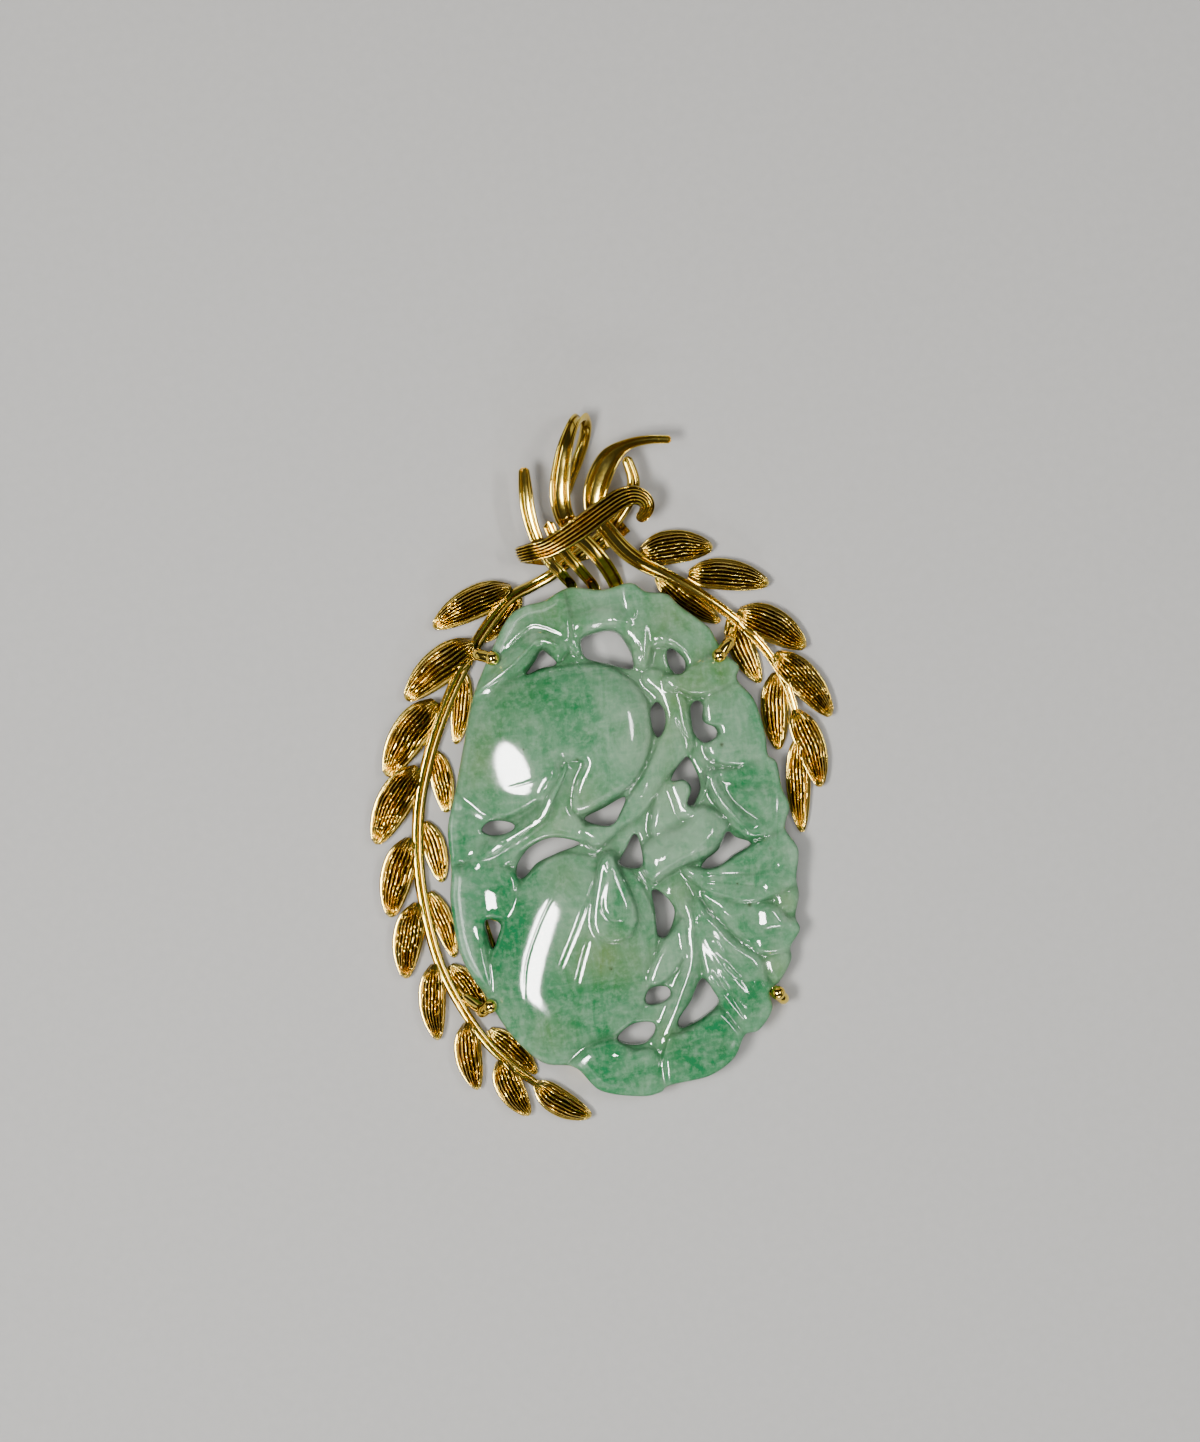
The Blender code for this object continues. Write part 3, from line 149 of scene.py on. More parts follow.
# A carved form stands rim above the stone's back at its edge and rises by crown within reach of that edge.
# Its surface leans: lean is its rise for each millimetre of u and of v, measured from its middle
Form = namedtuple("Form", "rim crown reach lean outline")
FORMS = {
    "vine": Form(2.8, 0.6, 1.3, (-0.05, -0.02), (
        (-4.4, 2.4), (-2.6, 0.2), (0.2, 2.0), (3.2, 3.6), (6.4, 7.2), (9.6, 9.9), (9.7, 13.5), (9.4, 16.6),
        (8.0, 18.9), (5.9, 20.0), (4.8, 18.6), (6.4, 16.4), (6.3, 13.2), (5.1, 10.2), (3.4, 7.6), (1.6, 5.4),
        (-0.8, 3.1))),
    "top_arch": Form(2.6, 0.8, 1.5, (0.0, -0.09), (
        (5.4, 20.2), (6.4, 22.5), (6.8, 25.6), (7.2, 29.8), (2.0, 31.2), (-3.0, 31.8), (-6.4, 30.8),
        (-4.6, 26.6), (-3.5, 23.7), (-2.0, 22.6), (-1.4, 24.5), (1.8, 25.0), (3.7, 23.2), (4.0, 21.0))),
    "left_twig": Form(2.7, 0.8, 1.3, (0.04, 0.05), (
        (-19.0, -1.1), (-17.4, 1.2), (-13.4, 2.9), (-10.2, 4.4), (-8.5, 6.0), (-7.2, 7.8), (-5.6, 10.7),
        (-4.4, 10.3), (-3.3, 9.9), (-4.3, 8.0), (-4.9, 6.2), (-5.0, 4.8), (-4.1, 3.4), (-3.2, 1.7),
        (-4.8, 0.9), (-8.0, 1.7), (-11.4, 0.6), (-13.4, -0.9))),
    "upper_left_leaf": Form(2.6, 0.7, 1.3, (0.13, -0.03), (
        (-16.8, 18.0), (-14.6, 23.0), (-11.6, 28.6), (-7.4, 30.6), (-3.6, 31.0), (-2.6, 27.4), (-2.8, 24.2),
        (-4.8, 22.0), (-6.2, 23.9), (-9.0, 21.2), (-12.6, 19.2), (-15.2, 17.8))),
    "upper_fruit": Form(2.15, 0.95, 3.4, (0.0, 0.0), (
        (-19.4, 6.6), (-18.6, 10.0), (-17.3, 13.8), (-15.4, 18.2), (-13.2, 19.8), (-10.0, 20.8), (-4.6, 21.5),
        (0.4, 21.0), (3.4, 18.9), (5.0, 16.0), (5.1, 12.6), (3.9, 9.2), (1.6, 6.6), (-2.2, 4.6), (-4.8, 4.0),
        (-9.6, 3.9), (-13.8, 4.6), (-17.0, 5.6))),
    "left_leaf": Form(2.4, 0.6, 1.2, (-0.08, 0.0), (
        (-20.8, 0.0), (-20.8, 4.4), (-19.4, 8.2), (-15.4, 6.9), (-12.0, 4.6), (-13.4, 2.6), (-17.2, 0.7))),
    "lower_left_leaf": Form(2.5, 0.7, 1.3, (-0.01, 0.0), (
        (-21.4, -4.4), (-20.8, -0.6), (-18.2, -0.2), (-15.6, 0.0), (-12.6, -1.6), (-12.4, -4.6),
        (-13.8, -7.0), (-16.2, -6.7), (-16.9, -8.2), (-16.9, -10.4), (-16.8, -15.4), (-20.6, -11.4))),
    "lower_fruit": Form(2.65, 1.55, 7.0, (0.0, 0.03), (
        (-3.6, -0.9), (-7.2, -0.3), (-10.6, -1.9), (-13.0, -4.4), (-15.2, -8.2), (-16.8, -12.0),
        (-17.6, -15.8), (-16.4, -19.8), (-13.4, -23.6), (-10.4, -24.9), (-7.6, -23.8), (-5.2, -22.7),
        (-1.2, -20.7), (0.8, -17.6), (2.6, -12.4), (2.8, -8.4), (1.4, -4.0), (-1.2, -1.6))),
    "drop": Form(4.45, 0.25, 0.7, (-0.05, 0.02), (
        (-1.2, -1.0), (-2.4, -1.4), (-3.3, -4.0), (-4.2, -7.4), (-4.3, -9.2), (-3.5, -10.5), (-1.8, -11.0),
        (-0.2, -10.4), (0.7, -9.0), (0.7, -7.2), (0.0, -4.6), (-0.8, -2.4))),
    "drop_heart": Form(4.62, 0.25, 1.0, (-0.08, 0.0), (
        (-1.3, -2.8), (-2.1, -4.0), (-2.8, -5.8), (-2.9, -7.2), (-2.2, -8.3), (-1.1, -8.7), (-0.2, -8.3),
        (0.2, -7.2), (-0.2, -5.6), (-0.9, -3.6))),
    "upper_right_leaf": Form(2.5, 0.6, 0.9, (-0.07, -0.02), (
        (3.6, 30.8), (9.6, 29.8), (11.6, 27.8), (14.8, 24.0), (15.4, 20.8), (13.0, 18.4), (11.0, 18.0),
        (10.2, 19.4), (9.9, 21.0), (8.4, 22.3), (5.4, 22.6), (4.0, 25.0))),
    "side_leaf": Form(3.0, 0.8, 1.0, (-0.06, 0.02), (
        (7.2, 18.8), (9.0, 19.0), (11.0, 19.9), (14.2, 20.8), (16.8, 19.8), (17.0, 17.8), (15.6, 17.2),
        (13.9, 16.6), (12.1, 16.1), (10.4, 16.2), (9.0, 16.9), (7.6, 17.3))),
    "round_petal": Form(2.7, 0.6, 1.0, (-0.05, 0.0), (
        (11.4, 13.4), (11.6, 15.6), (13.4, 16.6), (16.0, 17.3), (18.6, 15.2), (19.4, 11.0), (19.4, 8.2),
        (16.8, 7.6), (14.8, 7.5), (12.8, 8.0), (11.4, 9.0), (11.2, 10.5), (12.8, 11.4), (12.7, 12.3),
        (11.5, 12.6))),
    "fan_petal": Form(2.7, 0.5, 0.8, (-0.05, 0.0), (
        (10.9, 7.3), (14.6, 7.3), (18.6, 8.3), (20.8, 6.6), (21.4, 2.4), (20.4, -0.2), (15.6, -1.0),
        (13.4, 0.2), (12.1, 2.4), (11.1, 4.8))),
    "bud": Form(3.2, 1.3, 1.9, (0.0, 0.0), (
        (2.4, -0.9), (2.2, -2.8), (3.2, -4.6), (5.2, -3.9), (7.2, -3.1), (10.0, -2.3), (12.0, -0.6),
        (12.7, 0.6), (12.2, 2.0), (10.4, 3.3), (8.9, 3.3), (8.0, 2.3), (6.6, 1.5), (4.6, 1.0), (3.2, 0.1))),
    "bud_leaf": Form(3.2, 0.6, 0.9, (-0.07, 0.0), (
        (3.8, 0.8), (4.0, 2.8), (5.0, 5.4), (6.4, 6.9), (7.9, 6.8), (8.8, 5.8), (8.6, 3.9), (9.4, 3.2),
        (8.0, 1.8), (5.6, 0.6))),
    "bud_curl": Form(3.9, 0.5, 0.7, (0.13, 0.0), (
        (6.2, 6.2), (7.2, 6.9), (8.5, 6.4), (8.9, 5.0), (8.4, 3.9), (8.8, 3.0), (8.0, 2.2), (7.0, 2.6),
        (6.6, 4.2))),
    "long_leaf": Form(2.9, 0.6, 0.9, (-0.04, 0.02), (
        (7.0, -3.6), (10.6, -3.9), (15.0, -1.9), (19.4, -0.4), (21.4, -1.4), (21.8, -4.0), (20.4, -6.4),
        (18.0, -7.6), (15.6, -8.3), (13.4, -8.3), (11.2, -7.4), (9.2, -6.4))),
    "right_leaf": Form(2.5, 0.7, 1.2, (-0.03, 0.0), (
        (8.8, -6.6), (12.4, -8.0), (16.6, -8.7), (18.4, -10.6), (20.8, -11.4), (20.6, -13.2), (18.2, -14.4),
        (14.8, -14.5), (12.2, -12.4), (10.0, -9.6))),
    "falling_leaf": Form(2.6, 0.7, 1.2, (-0.03, 0.02), (
        (7.9, -7.2), (10.0, -9.8), (12.2, -12.6), (14.7, -15.0), (15.2, -17.6), (16.6, -20.0), (15.4, -23.8),
        (12.8, -24.6), (11.3, -23.1), (9.4, -20.0), (8.0, -16.8), (7.7, -12.0))),
    "upper_berry": Form(2.2, 0.5, 1.0, (0.0, 0.0), (
        (17.0, -8.2), (18.0, -7.2), (19.6, -7.6), (19.8, -9.2), (18.8, -10.2), (17.4, -9.6))),
    "lower_berry": Form(2.2, 0.6, 1.1, (0.0, 0.0), (
        (14.9, -15.2), (16.2, -14.5), (17.9, -14.7), (17.8, -16.4), (16.4, -17.9), (15.2, -17.2))),
    "stem_blade": Form(2.8, 0.6, 0.9, (-0.03, 0.0), (
        (6.1, -9.4), (6.2, -12.4), (4.6, -15.2), (2.2, -16.6), (1.2, -15.8), (3.2, -12.2), (4.8, -10.6))),
    "bottom_leaf": Form(2.6, 0.8, 0.9, (-0.05, 0.04), (
        (2.5, -22.9), (5.0, -22.3), (7.4, -21.0), (9.4, -20.3), (11.4, -22.8), (12.2, -24.6), (11.4, -27.0),
        (7.4, -29.4), (2.4, -30.0), (1.7, -26.4))),
    "bottom_curl": Form(2.6, 0.8, 1.4, (0.02, 0.05), (
        (-9.6, -25.8), (-7.6, -23.4), (-5.4, -22.5), (-3.2, -22.4), (-1.4, -23.7), (1.0, -24.0), (1.9, -26.4),
        (1.8, -30.0), (-2.0, -31.0), (-7.6, -29.4))),
}

# The forms whose crown is a parabola, not a quarter round
PARABOLIC_FORMS = ("lower_fruit",)

# A swelling raises a form by rise along its spine, less half of fall times the distance from it squared
Swell = namedtuple("Swell", "rise fall spine")
SWELLS = {"upper_fruit": Swell(1.75, 0.034, ((-7.8, 11.8), (-1.5, 13.2)))}

# A notch in a form, within reach of which the form's crown falls away
Notch = namedtuple("Notch", "reach outline")
NOTCHES = {
    "upper_fruit": Notch(1.0, (
        (-5.6, 10.9), (-4.4, 10.5), (-3.2, 10.0), (-4.3, 8.0), (-4.9, 6.2), (-5.0, 4.8), (-4.0, 3.2),
        (-9.0, 2.2), (-15.0, 2.2), (-15.2, 4.2), (-12.4, 4.8), (-9.9, 5.6), (-8.2, 6.6), (-7.0, 8.2))),
}

# A ridge, or a crease where its rise is negative, follows its points. Its half-width and its rise are even,
# or change along it through values at even steps
Line = namedtuple("Line", "half_width rise points")
STEM_PATH = (
    (6.7, -8.0), (7.0, -9.6), (6.8, -11.2), (6.7, -13.2), (6.4, -14.8), (5.8, -16.2), (4.9, -18.0),
    (3.9, -20.0), (3.0, -21.6), (2.0, -23.4), (1.5, -25.1))
LINES = (
    Line(0.9, (0.55, 0.9), ((-17.5, 0.2), (-15.3, 1.2), (-13.1, 2.3), (-10.1, 3.8), (-8.5, 5.0), (-7.5, 6.8),
                            (-5.6, 9.7))),
    Line(0.9, 0.65, ((-15.0, 18.9), (-12.0, 20.9), (-9.8, 22.7), (-7.2, 24.5), (-5.6, 24.2), (-4.0, 23.2))),
    Line(0.9, 0.35, ((-2.6, 25.9), (0.0, 26.6), (2.2, 26.3), (4.4, 25.4))),
    Line(0.9, (1.15, 0.45), ((5.9, -5.2), *STEM_PATH)),
    Line(0.7, 0.45, ((11.3, 8.1), (11.5, 5.5), (12.9, 3.0), (15.2, 0.0))),
    Line(0.8, 0.3, ((7.2, 24.0), (8.6, 22.4), (10.2, 19.8))),
    Line(1.1, 0.13, ((-14.7, -3.2), (-14.7, -6.0))),
    Line(1.5, 0.33, ((16.7, -9.0), (16.7, -11.6))),
    Line(1.2, 0.3, ((3.4, -3.2), (6.4, -1.6), (9.6, -0.4), (11.2, 0.8))),
    Line(0.7, -0.3, ((3.0, 0.1), (4.8, 1.1), (6.8, 1.6), (8.2, 2.6))),
    Line(0.8, -0.3, ((9.0, -4.6), (13.0, -5.0), (18.0, -4.4))),
    Line(0.8, -0.3, ((9.0, -5.6), (12.4, -6.4), (16.2, -6.9))),
    Line(0.8, -0.45, ((8.8, -6.9), (10.2, -9.4), (12.0, -11.8), (14.4, -13.6))),
    Line(0.7, -0.3, ((8.4, -9.4), (9.6, -12.4), (11.2, -15.4), (13.6, -19.4))),
    Line(0.7, -0.3, ((8.0, -11.4), (8.8, -14.6), (10.4, -18.0), (12.2, -21.4))),
    Line(0.8, -0.25, ((12.0, 6.2), (15.6, 5.0), (19.0, 4.8))),
    Line(0.8, -0.25, ((12.2, 5.0), (15.0, 2.4), (17.4, 0.4))),
    Line(0.8, -0.25, ((3.4, -23.6), (6.6, -24.0), (10.4, -24.6))),
    Line(0.5, -0.12, ((-19.9, 7.0), (-17.8, 6.0), (-15.6, 4.7))),
)

# Polished crests stand their rise above the forms and all lean alike. Fine ridges and incisions come last
CRESTS = (
    Line((0.2, 0.3, 0.42, 0.26, 0.34, 0.52, 0.42, 0.26, 0.2, 0.18),
         (0.05, 0.08, 0.11, 0.16, 0.26, 0.34, 0.42, 0.46, 0.44, 0.3),
         ((-17.6, 0.0), (-15.3, 0.9), (-13.8, 1.7), (-12.0, 2.6), (-9.5, 3.8), (-8.3, 4.8), (-7.4, 6.3),
          (-6.4, 7.7), (-5.4, 9.4), (-5.1, 10.3))),
    Line((0.18, 0.24, 0.26, 0.2, 0.18, 0.2, 0.26, 0.3, 0.18), (0.26, 0.26),
         ((-15.0, 19.2), (-13.0, 20.4), (-11.4, 21.3), (-10.0, 22.2), (-8.8, 23.1), (-7.6, 24.1),
          (-6.8, 24.6), (-5.6, 24.4), (-4.1, 23.5))),
    Line((0.26, 0.36, 0.36, 0.34, 0.3, 0.24, 0.21, 0.2, 0.22, 0.36, 0.46, 0.4), (0.2, 0.2),
         ((6.1, -6.0), *STEM_PATH)),
    Line((0.18, 0.2, 0.22, 0.22, 0.18), (0.18, 0.18),
         ((11.2, 7.2), (11.4, 5.6), (12.2, 3.7), (13.5, 1.6), (15.0, -0.2))),
    Line((0.18, 0.18), (0.16, 0.16), ((11.0, 8.6), (11.0, 6.8), (10.6, 5.3), (9.9, 4.2), (9.1, 3.2))),
)
FINE_RIDGES = (
    Line(0.25, 0.14, ((-14.7, 2.1), (-13.9, 2.1), (-13.1, 2.1))),
    Line(0.2, 0.13, ((-11.4, 23.0), (-9.8, 24.1), (-8.3, 25.1), (-7.0, 25.6), (-5.6, 25.3), (-4.4, 24.7))),
    Line(0.18, 0.11, ((-10.6, 24.4), (-9.2, 25.5), (-7.6, 26.5), (-6.6, 26.6), (-5.2, 26.0), (-3.7, 25.1))),
    Line(0.22, 0.14, ((-3.4, 24.0), (-3.0, 23.7), (-3.0, 23.3), (-3.4, 23.2), (-3.7, 23.6), (-3.4, 24.0))),
    Line(0.28, 0.18, ((2.4, -22.6), (3.2, -22.9), (4.0, -22.7), (5.1, -22.1))),
    Line(0.18, 0.12, ((10.8, 4.8), (11.5, 3.6), (12.2, 2.5))),
    Line(0.2, 0.18, ((9.6, -8.2), (10.4, -10.2), (11.4, -11.7))),
    Line(0.16, 0.13, ((10.8, -10.1), (12.2, -11.9), (13.6, -13.2))),
    Line(0.22, 0.18, ((9.2, -12.0), (9.8, -12.8), (10.5, -14.3))),
    Line(0.18, 0.15, ((9.2, -13.7), (10.0, -15.6), (10.9, -17.0))),
    Line(0.16, 0.12, ((10.4, -15.0), (11.2, -16.1), (12.0, -17.0))),
    Line(0.2, 0.16, ((9.5, -15.7), (10.2, -17.4), (10.8, -18.8))),
    Line(0.18, 0.15, ((8.6, -15.9), (9.1, -17.0), (10.0, -18.4))),
    Line(0.2, 0.16, ((8.2, -16.0), (8.4, -16.8), (8.7, -17.5))),
    Line(0.2, 0.14, ((7.0, 24.0), (8.2, 22.7), (9.2, 21.4), (10.3, 19.7))),
    Line(0.26, 0.16, ((2.0, 26.2), (3.0, 25.9), (4.3, 25.4))),
    Line(0.2, 0.12, ((4.5, 26.0), (4.8, 26.5), (4.9, 27.1))),
    Line(0.14, 0.03, ((-2.6, -1.9), (-4.2, -4.4), (-6.2, -8.4), (-7.6, -11.0), (-9.1, -13.7))),
    Line(0.13, 0.03, ((-5.2, -10.3), (-6.2, -12.8), (-7.2, -15.4))),
    Line(0.14, 0.02, ((-2.6, -11.6), (-3.3, -13.6), (-4.2, -16.2))),
    Line(0.22, 0.16, ((-1.9, -1.2), (-1.8, -2.0), (-1.7, -2.9))),
    Line(0.22, 0.14, ((2.3, -1.3), (2.4, -2.4), (2.9, -3.8))),
    Line(0.3, 0.16, ((7.6, 17.4), (8.6, 17.6), (9.4, 17.1), (10.4, 16.5))),
    Line(0.18, 0.1, ((3.0, 5.1), (3.6, 6.4), (4.2, 8.9))),
    Line(0.18, 0.1, ((-17.7, -7.2), (-17.6, -8.4), (-17.2, -9.8))),
    Line(0.22, 0.12, ((-3.6, -24.1), (-1.8, -24.3), (0.0, -23.7))),
    Line(0.24, 0.1, ((6.8, -0.2), (8.2, 1.0), (9.6, 2.3))),
    Line(0.24, 0.1, ((8.0, -1.6), (9.2, -0.9), (10.2, -0.2))),
    Line(0.24, 0.1, ((4.6, -2.4), (5.4, -1.4), (6.0, -0.6))),
)
INCISIONS = (
    Line(0.14, -0.07, ((-12.2, 8.2), (-9.6, 8.6), (-7.0, 9.3))),
    Line(0.14, -0.05, ((-7.4, -3.5), (-9.0, -5.6), (-11.0, -9.0), (-12.5, -12.4), (-13.2, -16.4))),
    Line(0.18, -0.08, ((-2.5, -1.6), (-3.9, -4.4), (-5.8, -8.4), (-8.7, -13.6))),
    Line(0.18, -0.07, ((-4.9, -10.4), (-5.9, -12.8), (-6.9, -15.4))),
    Line(0.18, -0.1, ((-2.9, -5.8), (-3.0, -7.2), (-2.3, -8.4), (-1.1, -8.8), (-0.2, -8.4))),
    Line(0.16, -0.06, ((12.9, 4.3), (13.9, 2.9), (15.1, 1.4))),
    Line(0.16, -0.06, ((13.2, 5.9), (14.8, 4.9), (16.3, 3.6))),
    Line(0.16, -0.06, ((13.2, 6.8), (15.4, 6.4), (17.6, 6.2))),
    Line(0.22, -0.05, ((18.5, 8.0), (19.2, 5.8), (18.9, 3.2), (18.3, 0.6))),
    Line(0.16, -0.1, ((8.6, -4.2), (12.0, -4.8), (16.5, -5.2))),
    Line(0.16, -0.1, ((8.6, -5.0), (12.4, -5.9), (16.2, -6.8))),
    Line(0.18, -0.12, ((9.2, -5.8), (11.0, -6.7), (12.6, -7.4))),
    Line(0.16, -0.08, ((9.0, -3.9), (13.0, -3.7), (17.0, -3.3))),
    Line(0.16, -0.06, ((10.6, -8.6), (13.2, -10.2), (16.0, -12.0))),
    Line(0.16, -0.07, ((10.8, -12.6), (12.2, -14.8), (13.6, -17.8))),
    Line(0.16, -0.06, ((10.6, -19.0), (11.4, -20.6), (12.2, -22.4))),
    Line(0.16, -0.05, ((4.2, -23.8), (6.4, -23.4), (8.6, -22.4))),
    Line(0.16, -0.05, ((4.4, -24.8), (7.0, -25.0), (9.6, -24.8))),
    Line(0.16, -0.06, ((2.6, 3.6), (4.4, 5.8), (6.0, 8.4))),
    Line(0.16, -0.07, ((8.2, 14.2), (8.4, 13.0), (9.2, 11.4))),
    Line(0.18, -0.04, ((7.6, 27.6), (9.0, 24.8), (10.9, 20.6))),
    Line(0.18, -0.03, ((9.2, 27.2), (10.4, 24.6), (11.6, 22.0))),
    Line(0.16, -0.07, ((4.6, 23.4), (5.1, 21.8), (5.2, 20.4))),
)
FINE_LINES = FINE_RIDGES + INCISIONS
POINTED_LINES = CRESTS + FINE_LINES

# Stone: green clouds and pale clouds (u, v, radius, strength), yellowish ones, and specks (u, v, radius)
CLOUD_BASE = 0.42
CLOUDS = (
    (-18.0, 3.0, 3.2, 0.36), (-17.0, -3.2, 4.2, 0.52), (-14.2, -7.4, 4.2, 0.5), (-13.4, -12.6, 4.6, 0.56),
    (-4.2, -17.0, 5.0, 0.4), (-9.5, -19.0, 4.0, 0.25), (6.2, -25.0, 4.6, 0.72), (-4.2, -26.0, 3.8, 0.66),
    (-9.0, 19.0, 3.6, 0.5), (-5.2, 17.2, 4.4, 0.3), (-11.6, 14.6, 3.6, 0.16), (-3.2, 12.8, 2.8, 0.22),
    # The cloud at (-4.4, 27.4) over the top arch is partly the stone's green and partly painted shade, made
    # stronger to darken the arch where less light falls
    (-4.4, 27.4, 3.6, 0.52), (15.6, 4.2, 3.2, 0.36), (14.6, -4.2, 3.8, 0.32), (15.4, -11.0, 3.6, 0.26),
    (11.6, -18.6, 3.8, 0.5), (13.6, 19.0, 2.2, 0.3), (-1.4, 7.6, 2.6, 0.24), (6.6, 1.6, 4.6, -0.75),
    (14.4, 13.0, 3.2, -0.16), (1.6, 14.2, 3.4, -0.36), (6.2, 12.2, 4.4, -0.28), (-1.6, 1.6, 2.8, -0.2),
    (3.8, -12.6, 3.0, -0.22), (-6.6, -4.6, 2.4, -0.14), (10.0, 25.0, 3.6, -0.1), (1.8, 27.0, 2.8, -0.2),
    (4.6, 20.6, 3.2, -0.26), (18.4, -8.7, 1.8, -0.5), (16.4, -16.0, 1.9, -0.5), (-1.2, -5.8, 1.8, 0.16),
    (-13.6, 9.6, 3.0, -0.04), (2.2, -20.2, 2.4, -0.26), (12.0, -9.0, 2.2, -0.2), (-12.6, 21.6, 2.4, -0.2),
    (-4.2, 4.8, 1.8, -0.24), (17.6, 1.4, 1.8, -0.22), (19.0, -3.6, 1.8, -0.24), (-16.0, 17.0, 1.8, -0.16),
    (-10.4, -24.0, 2.4, -0.12), (-2.6, -12.0, 2.4, -0.14), (16.8, 9.0, 2.0, -0.14), (-18.6, -9.6, 2.4, 0.2))
WARM_BASE = 0.08
WARM_CLOUDS = (
    (-4.6, -12.4, 3.2, 0.55), (-0.8, -13.2, 2.6, 0.35), (7.2, 12.6, 3.4, 0.3), (8.8, 17.2, 2.6, 0.35),
    (-8.0, 2.6, 2.6, 0.32), (-3.4, 6.2, 2.2, 0.25), (6.0, 6.0, 2.4, 0.15), (5.2, 22.0, 2.6, 0.25),
    (-10.4, -20.6, 2.6, 0.3), (5.6, -6.4, 2.0, 0.25), (-7.0, -3.0, 2.0, 0.2), (2.8, -22.2, 1.8, 0.3),
    (9.4, 26.0, 3.4, 0.35), (13.4, 18.8, 3.0, 0.42), (-5.0, 28.0, 5.0, 0.3), (-15.4, 12.0, 3.4, 0.35),
    (18.4, -8.7, 1.6, 0.35), (16.4, -16.0, 1.6, 0.35), (-10.6, 17.8, 4.0, 0.15))
SPECKS = ((3.8, -6.1, 0.3), (14.0, -8.6, 0.28), (-3.8, 10.5, 0.2), (13.0, 10.2, 0.3), (-2.8, -14.0, 0.22),
          (17.2, -2.4, 0.16), (-9.9, 12.4, 0.14), (12.9, -6.0, 0.14))

# Gold mount: the oval frame behind the stone
FRAME_HALF_WIDTH = 18.2
FRAME_HALF_HEIGHT = 28.2
FRAME_WIRE_WIDTH = 1.15
FRAME_WIRE_HEIGHT = 1.25
FRAME_SEGMENTS = 180
FRAME_EDGE = 0.18
FRAME_CROWN = 0.05
FRAME_FLAT_SHARE = 0.6
# Painted shade on the frame, which lies behind and under the stone
FRAME_SHADE = 0.15

# Gold mount: leaves. Each runs from its foot to its tip with the width given. A seam parts its ridged dome
# from its lip. A growth is how fast a part rises from the leaf's foot, and then from its tip or by its width
LEAF_PROFILE = (
    (0.0, 0.28), (0.05, 0.48), (0.14, 0.78), (0.28, 0.97), (0.42, 1.0), (0.57, 0.96), (0.71, 0.84),
    (0.83, 0.66), (0.92, 0.46), (0.975, 0.28), (1.0, 0.1))
LEAF_STATIONS = 44
STATION_POWER = 0.9
DOME_POWERS = (2.2, 0.75)
LEAF_BACK_DEPTH = 0.3
LEAF_BACK = ((0.92, 0.55), (0.6, 0.95), (0.0, 1.0), (-0.6, 0.95), (-0.92, 0.55))
# Painted shade on a leaf's underside
LEAF_BACK_SHADE = 0.25
FULL_LEAF_HEIGHT = 1.5
LIP_START = 0.85
LIP_HEIGHT = 0.22
LIP_SAMPLES = 9
# Painted shade on the lip
LIP_SHADE = 0.12
LIP_GROWTH = (6.0, 3.0)
SEAM_START = 0.94
# Painted shade in the seam
SEAM_SHADE = 0.8
SEAM_GROWTH = 4.0
# Painted shade at a leaf's foot, where it lies in shadow; it fades out over the foot share of the leaf's
# length
FOOT_SHADE = 0.45
FOOT_SHARE = 0.22
RIDGE_SAMPLES = 8
RIDGE_POWER = 1.2
RIDGE_LIMIT = 1.15
RIDGE_GROWTH = (5.0, 7.0)
RIDGE_DEPTH_BY_HEIGHT = (0.5, 0.35)
GROOVE_POWER = 0.7
WOBBLES = ((0.035, 7.0), (0.02, 17.0))
OUTER_RIDGES = (8, 7, 8, 9, 7, 8, 7, 6, 7, 6)
INNER_RIDGES = (6, 5, 6, 5, 5, 6, 5)
RIDGE_DEPTH = 0.42
TALLNESS_KNOTS = 9
TALLNESS_RANGE = (0.84, 1.12)
TIP_BEAD_RADIUS = 0.33
TIP_BEAD_PLACE = 0.965
TIP_BEAD_RISE = 0.16
TIP_BEAD_WIDTH = 4.0
TIP_BEAD_TURNS = 18
OUTER_BEND = 0.45
INNER_BEND = -0.25
Leaf = namedtuple("Leaf", "width foot tip")

# How far a leaf stands above its middle line, and the height of that line at its foot and at its tip
OUTER = (1.5, 1.5, 1.3)
INNER = (0.75, 0.7, 0.5)
TUCKED = (0.75, 1.3, 0.5)
LEFT_OUTER_LEAVES = (
    Leaf(3.9, (-9.0, 31.2), (-18.7, 27.8)), Leaf(4.3, (-14.0, 25.4), (-22.9, 19.8)),
    Leaf(4.4, (-19.4, 19.2), (-26.2, 11.2)), Leaf(4.3, (-22.3, 11.8), (-28.4, 3.5)),
    Leaf(3.9, (-24.2, 3.7), (-27.7, -5.2)), Leaf(3.6, (-24.3, -3.9), (-26.8, -12.5)),
    Leaf(3.2, (-23.2, -11.2), (-23.9, -20.1)), Leaf(3.2, (-20.2, -18.4), (-20.0, -26.4)),
    Leaf(3.3, (-17.0, -23.2), (-14.4, -30.1)), Leaf(3.2, (-13.2, -26.5), (-7.2, -31.1)))
LEFT_INNER_LEAVES = (
    Leaf(2.7, (-8.2, 30.8), (-13.2, 25.4)), Leaf(2.5, (-15.9, 22.6), (-17.7, 13.9)),
    Leaf(2.8, (-20.4, 13.6), (-19.7, 6.1)), Leaf(2.8, (-22.4, 5.4), (-21.2, -1.9)),
    Leaf(2.5, (-22.8, -2.8), (-20.8, -10.8)), Leaf(2.7, (-21.4, -11.6), (-17.9, -18.0)),
    Leaf(2.5, (-17.8, -19.6), (-12.9, -25.4)))
RIGHT_OUTER_LEAVES = (
    Leaf(4.0, (6.2, 33.4), (14.8, 33.2)), Leaf(3.7, (11.6, 30.4), (20.8, 28.2)),
    Leaf(4.1, (16.8, 25.4), (24.2, 20.3)), Leaf(3.8, (20.5, 20.0), (26.2, 12.0)),
    Leaf(3.5, (22.0, 13.2), (24.0, 3.9)))
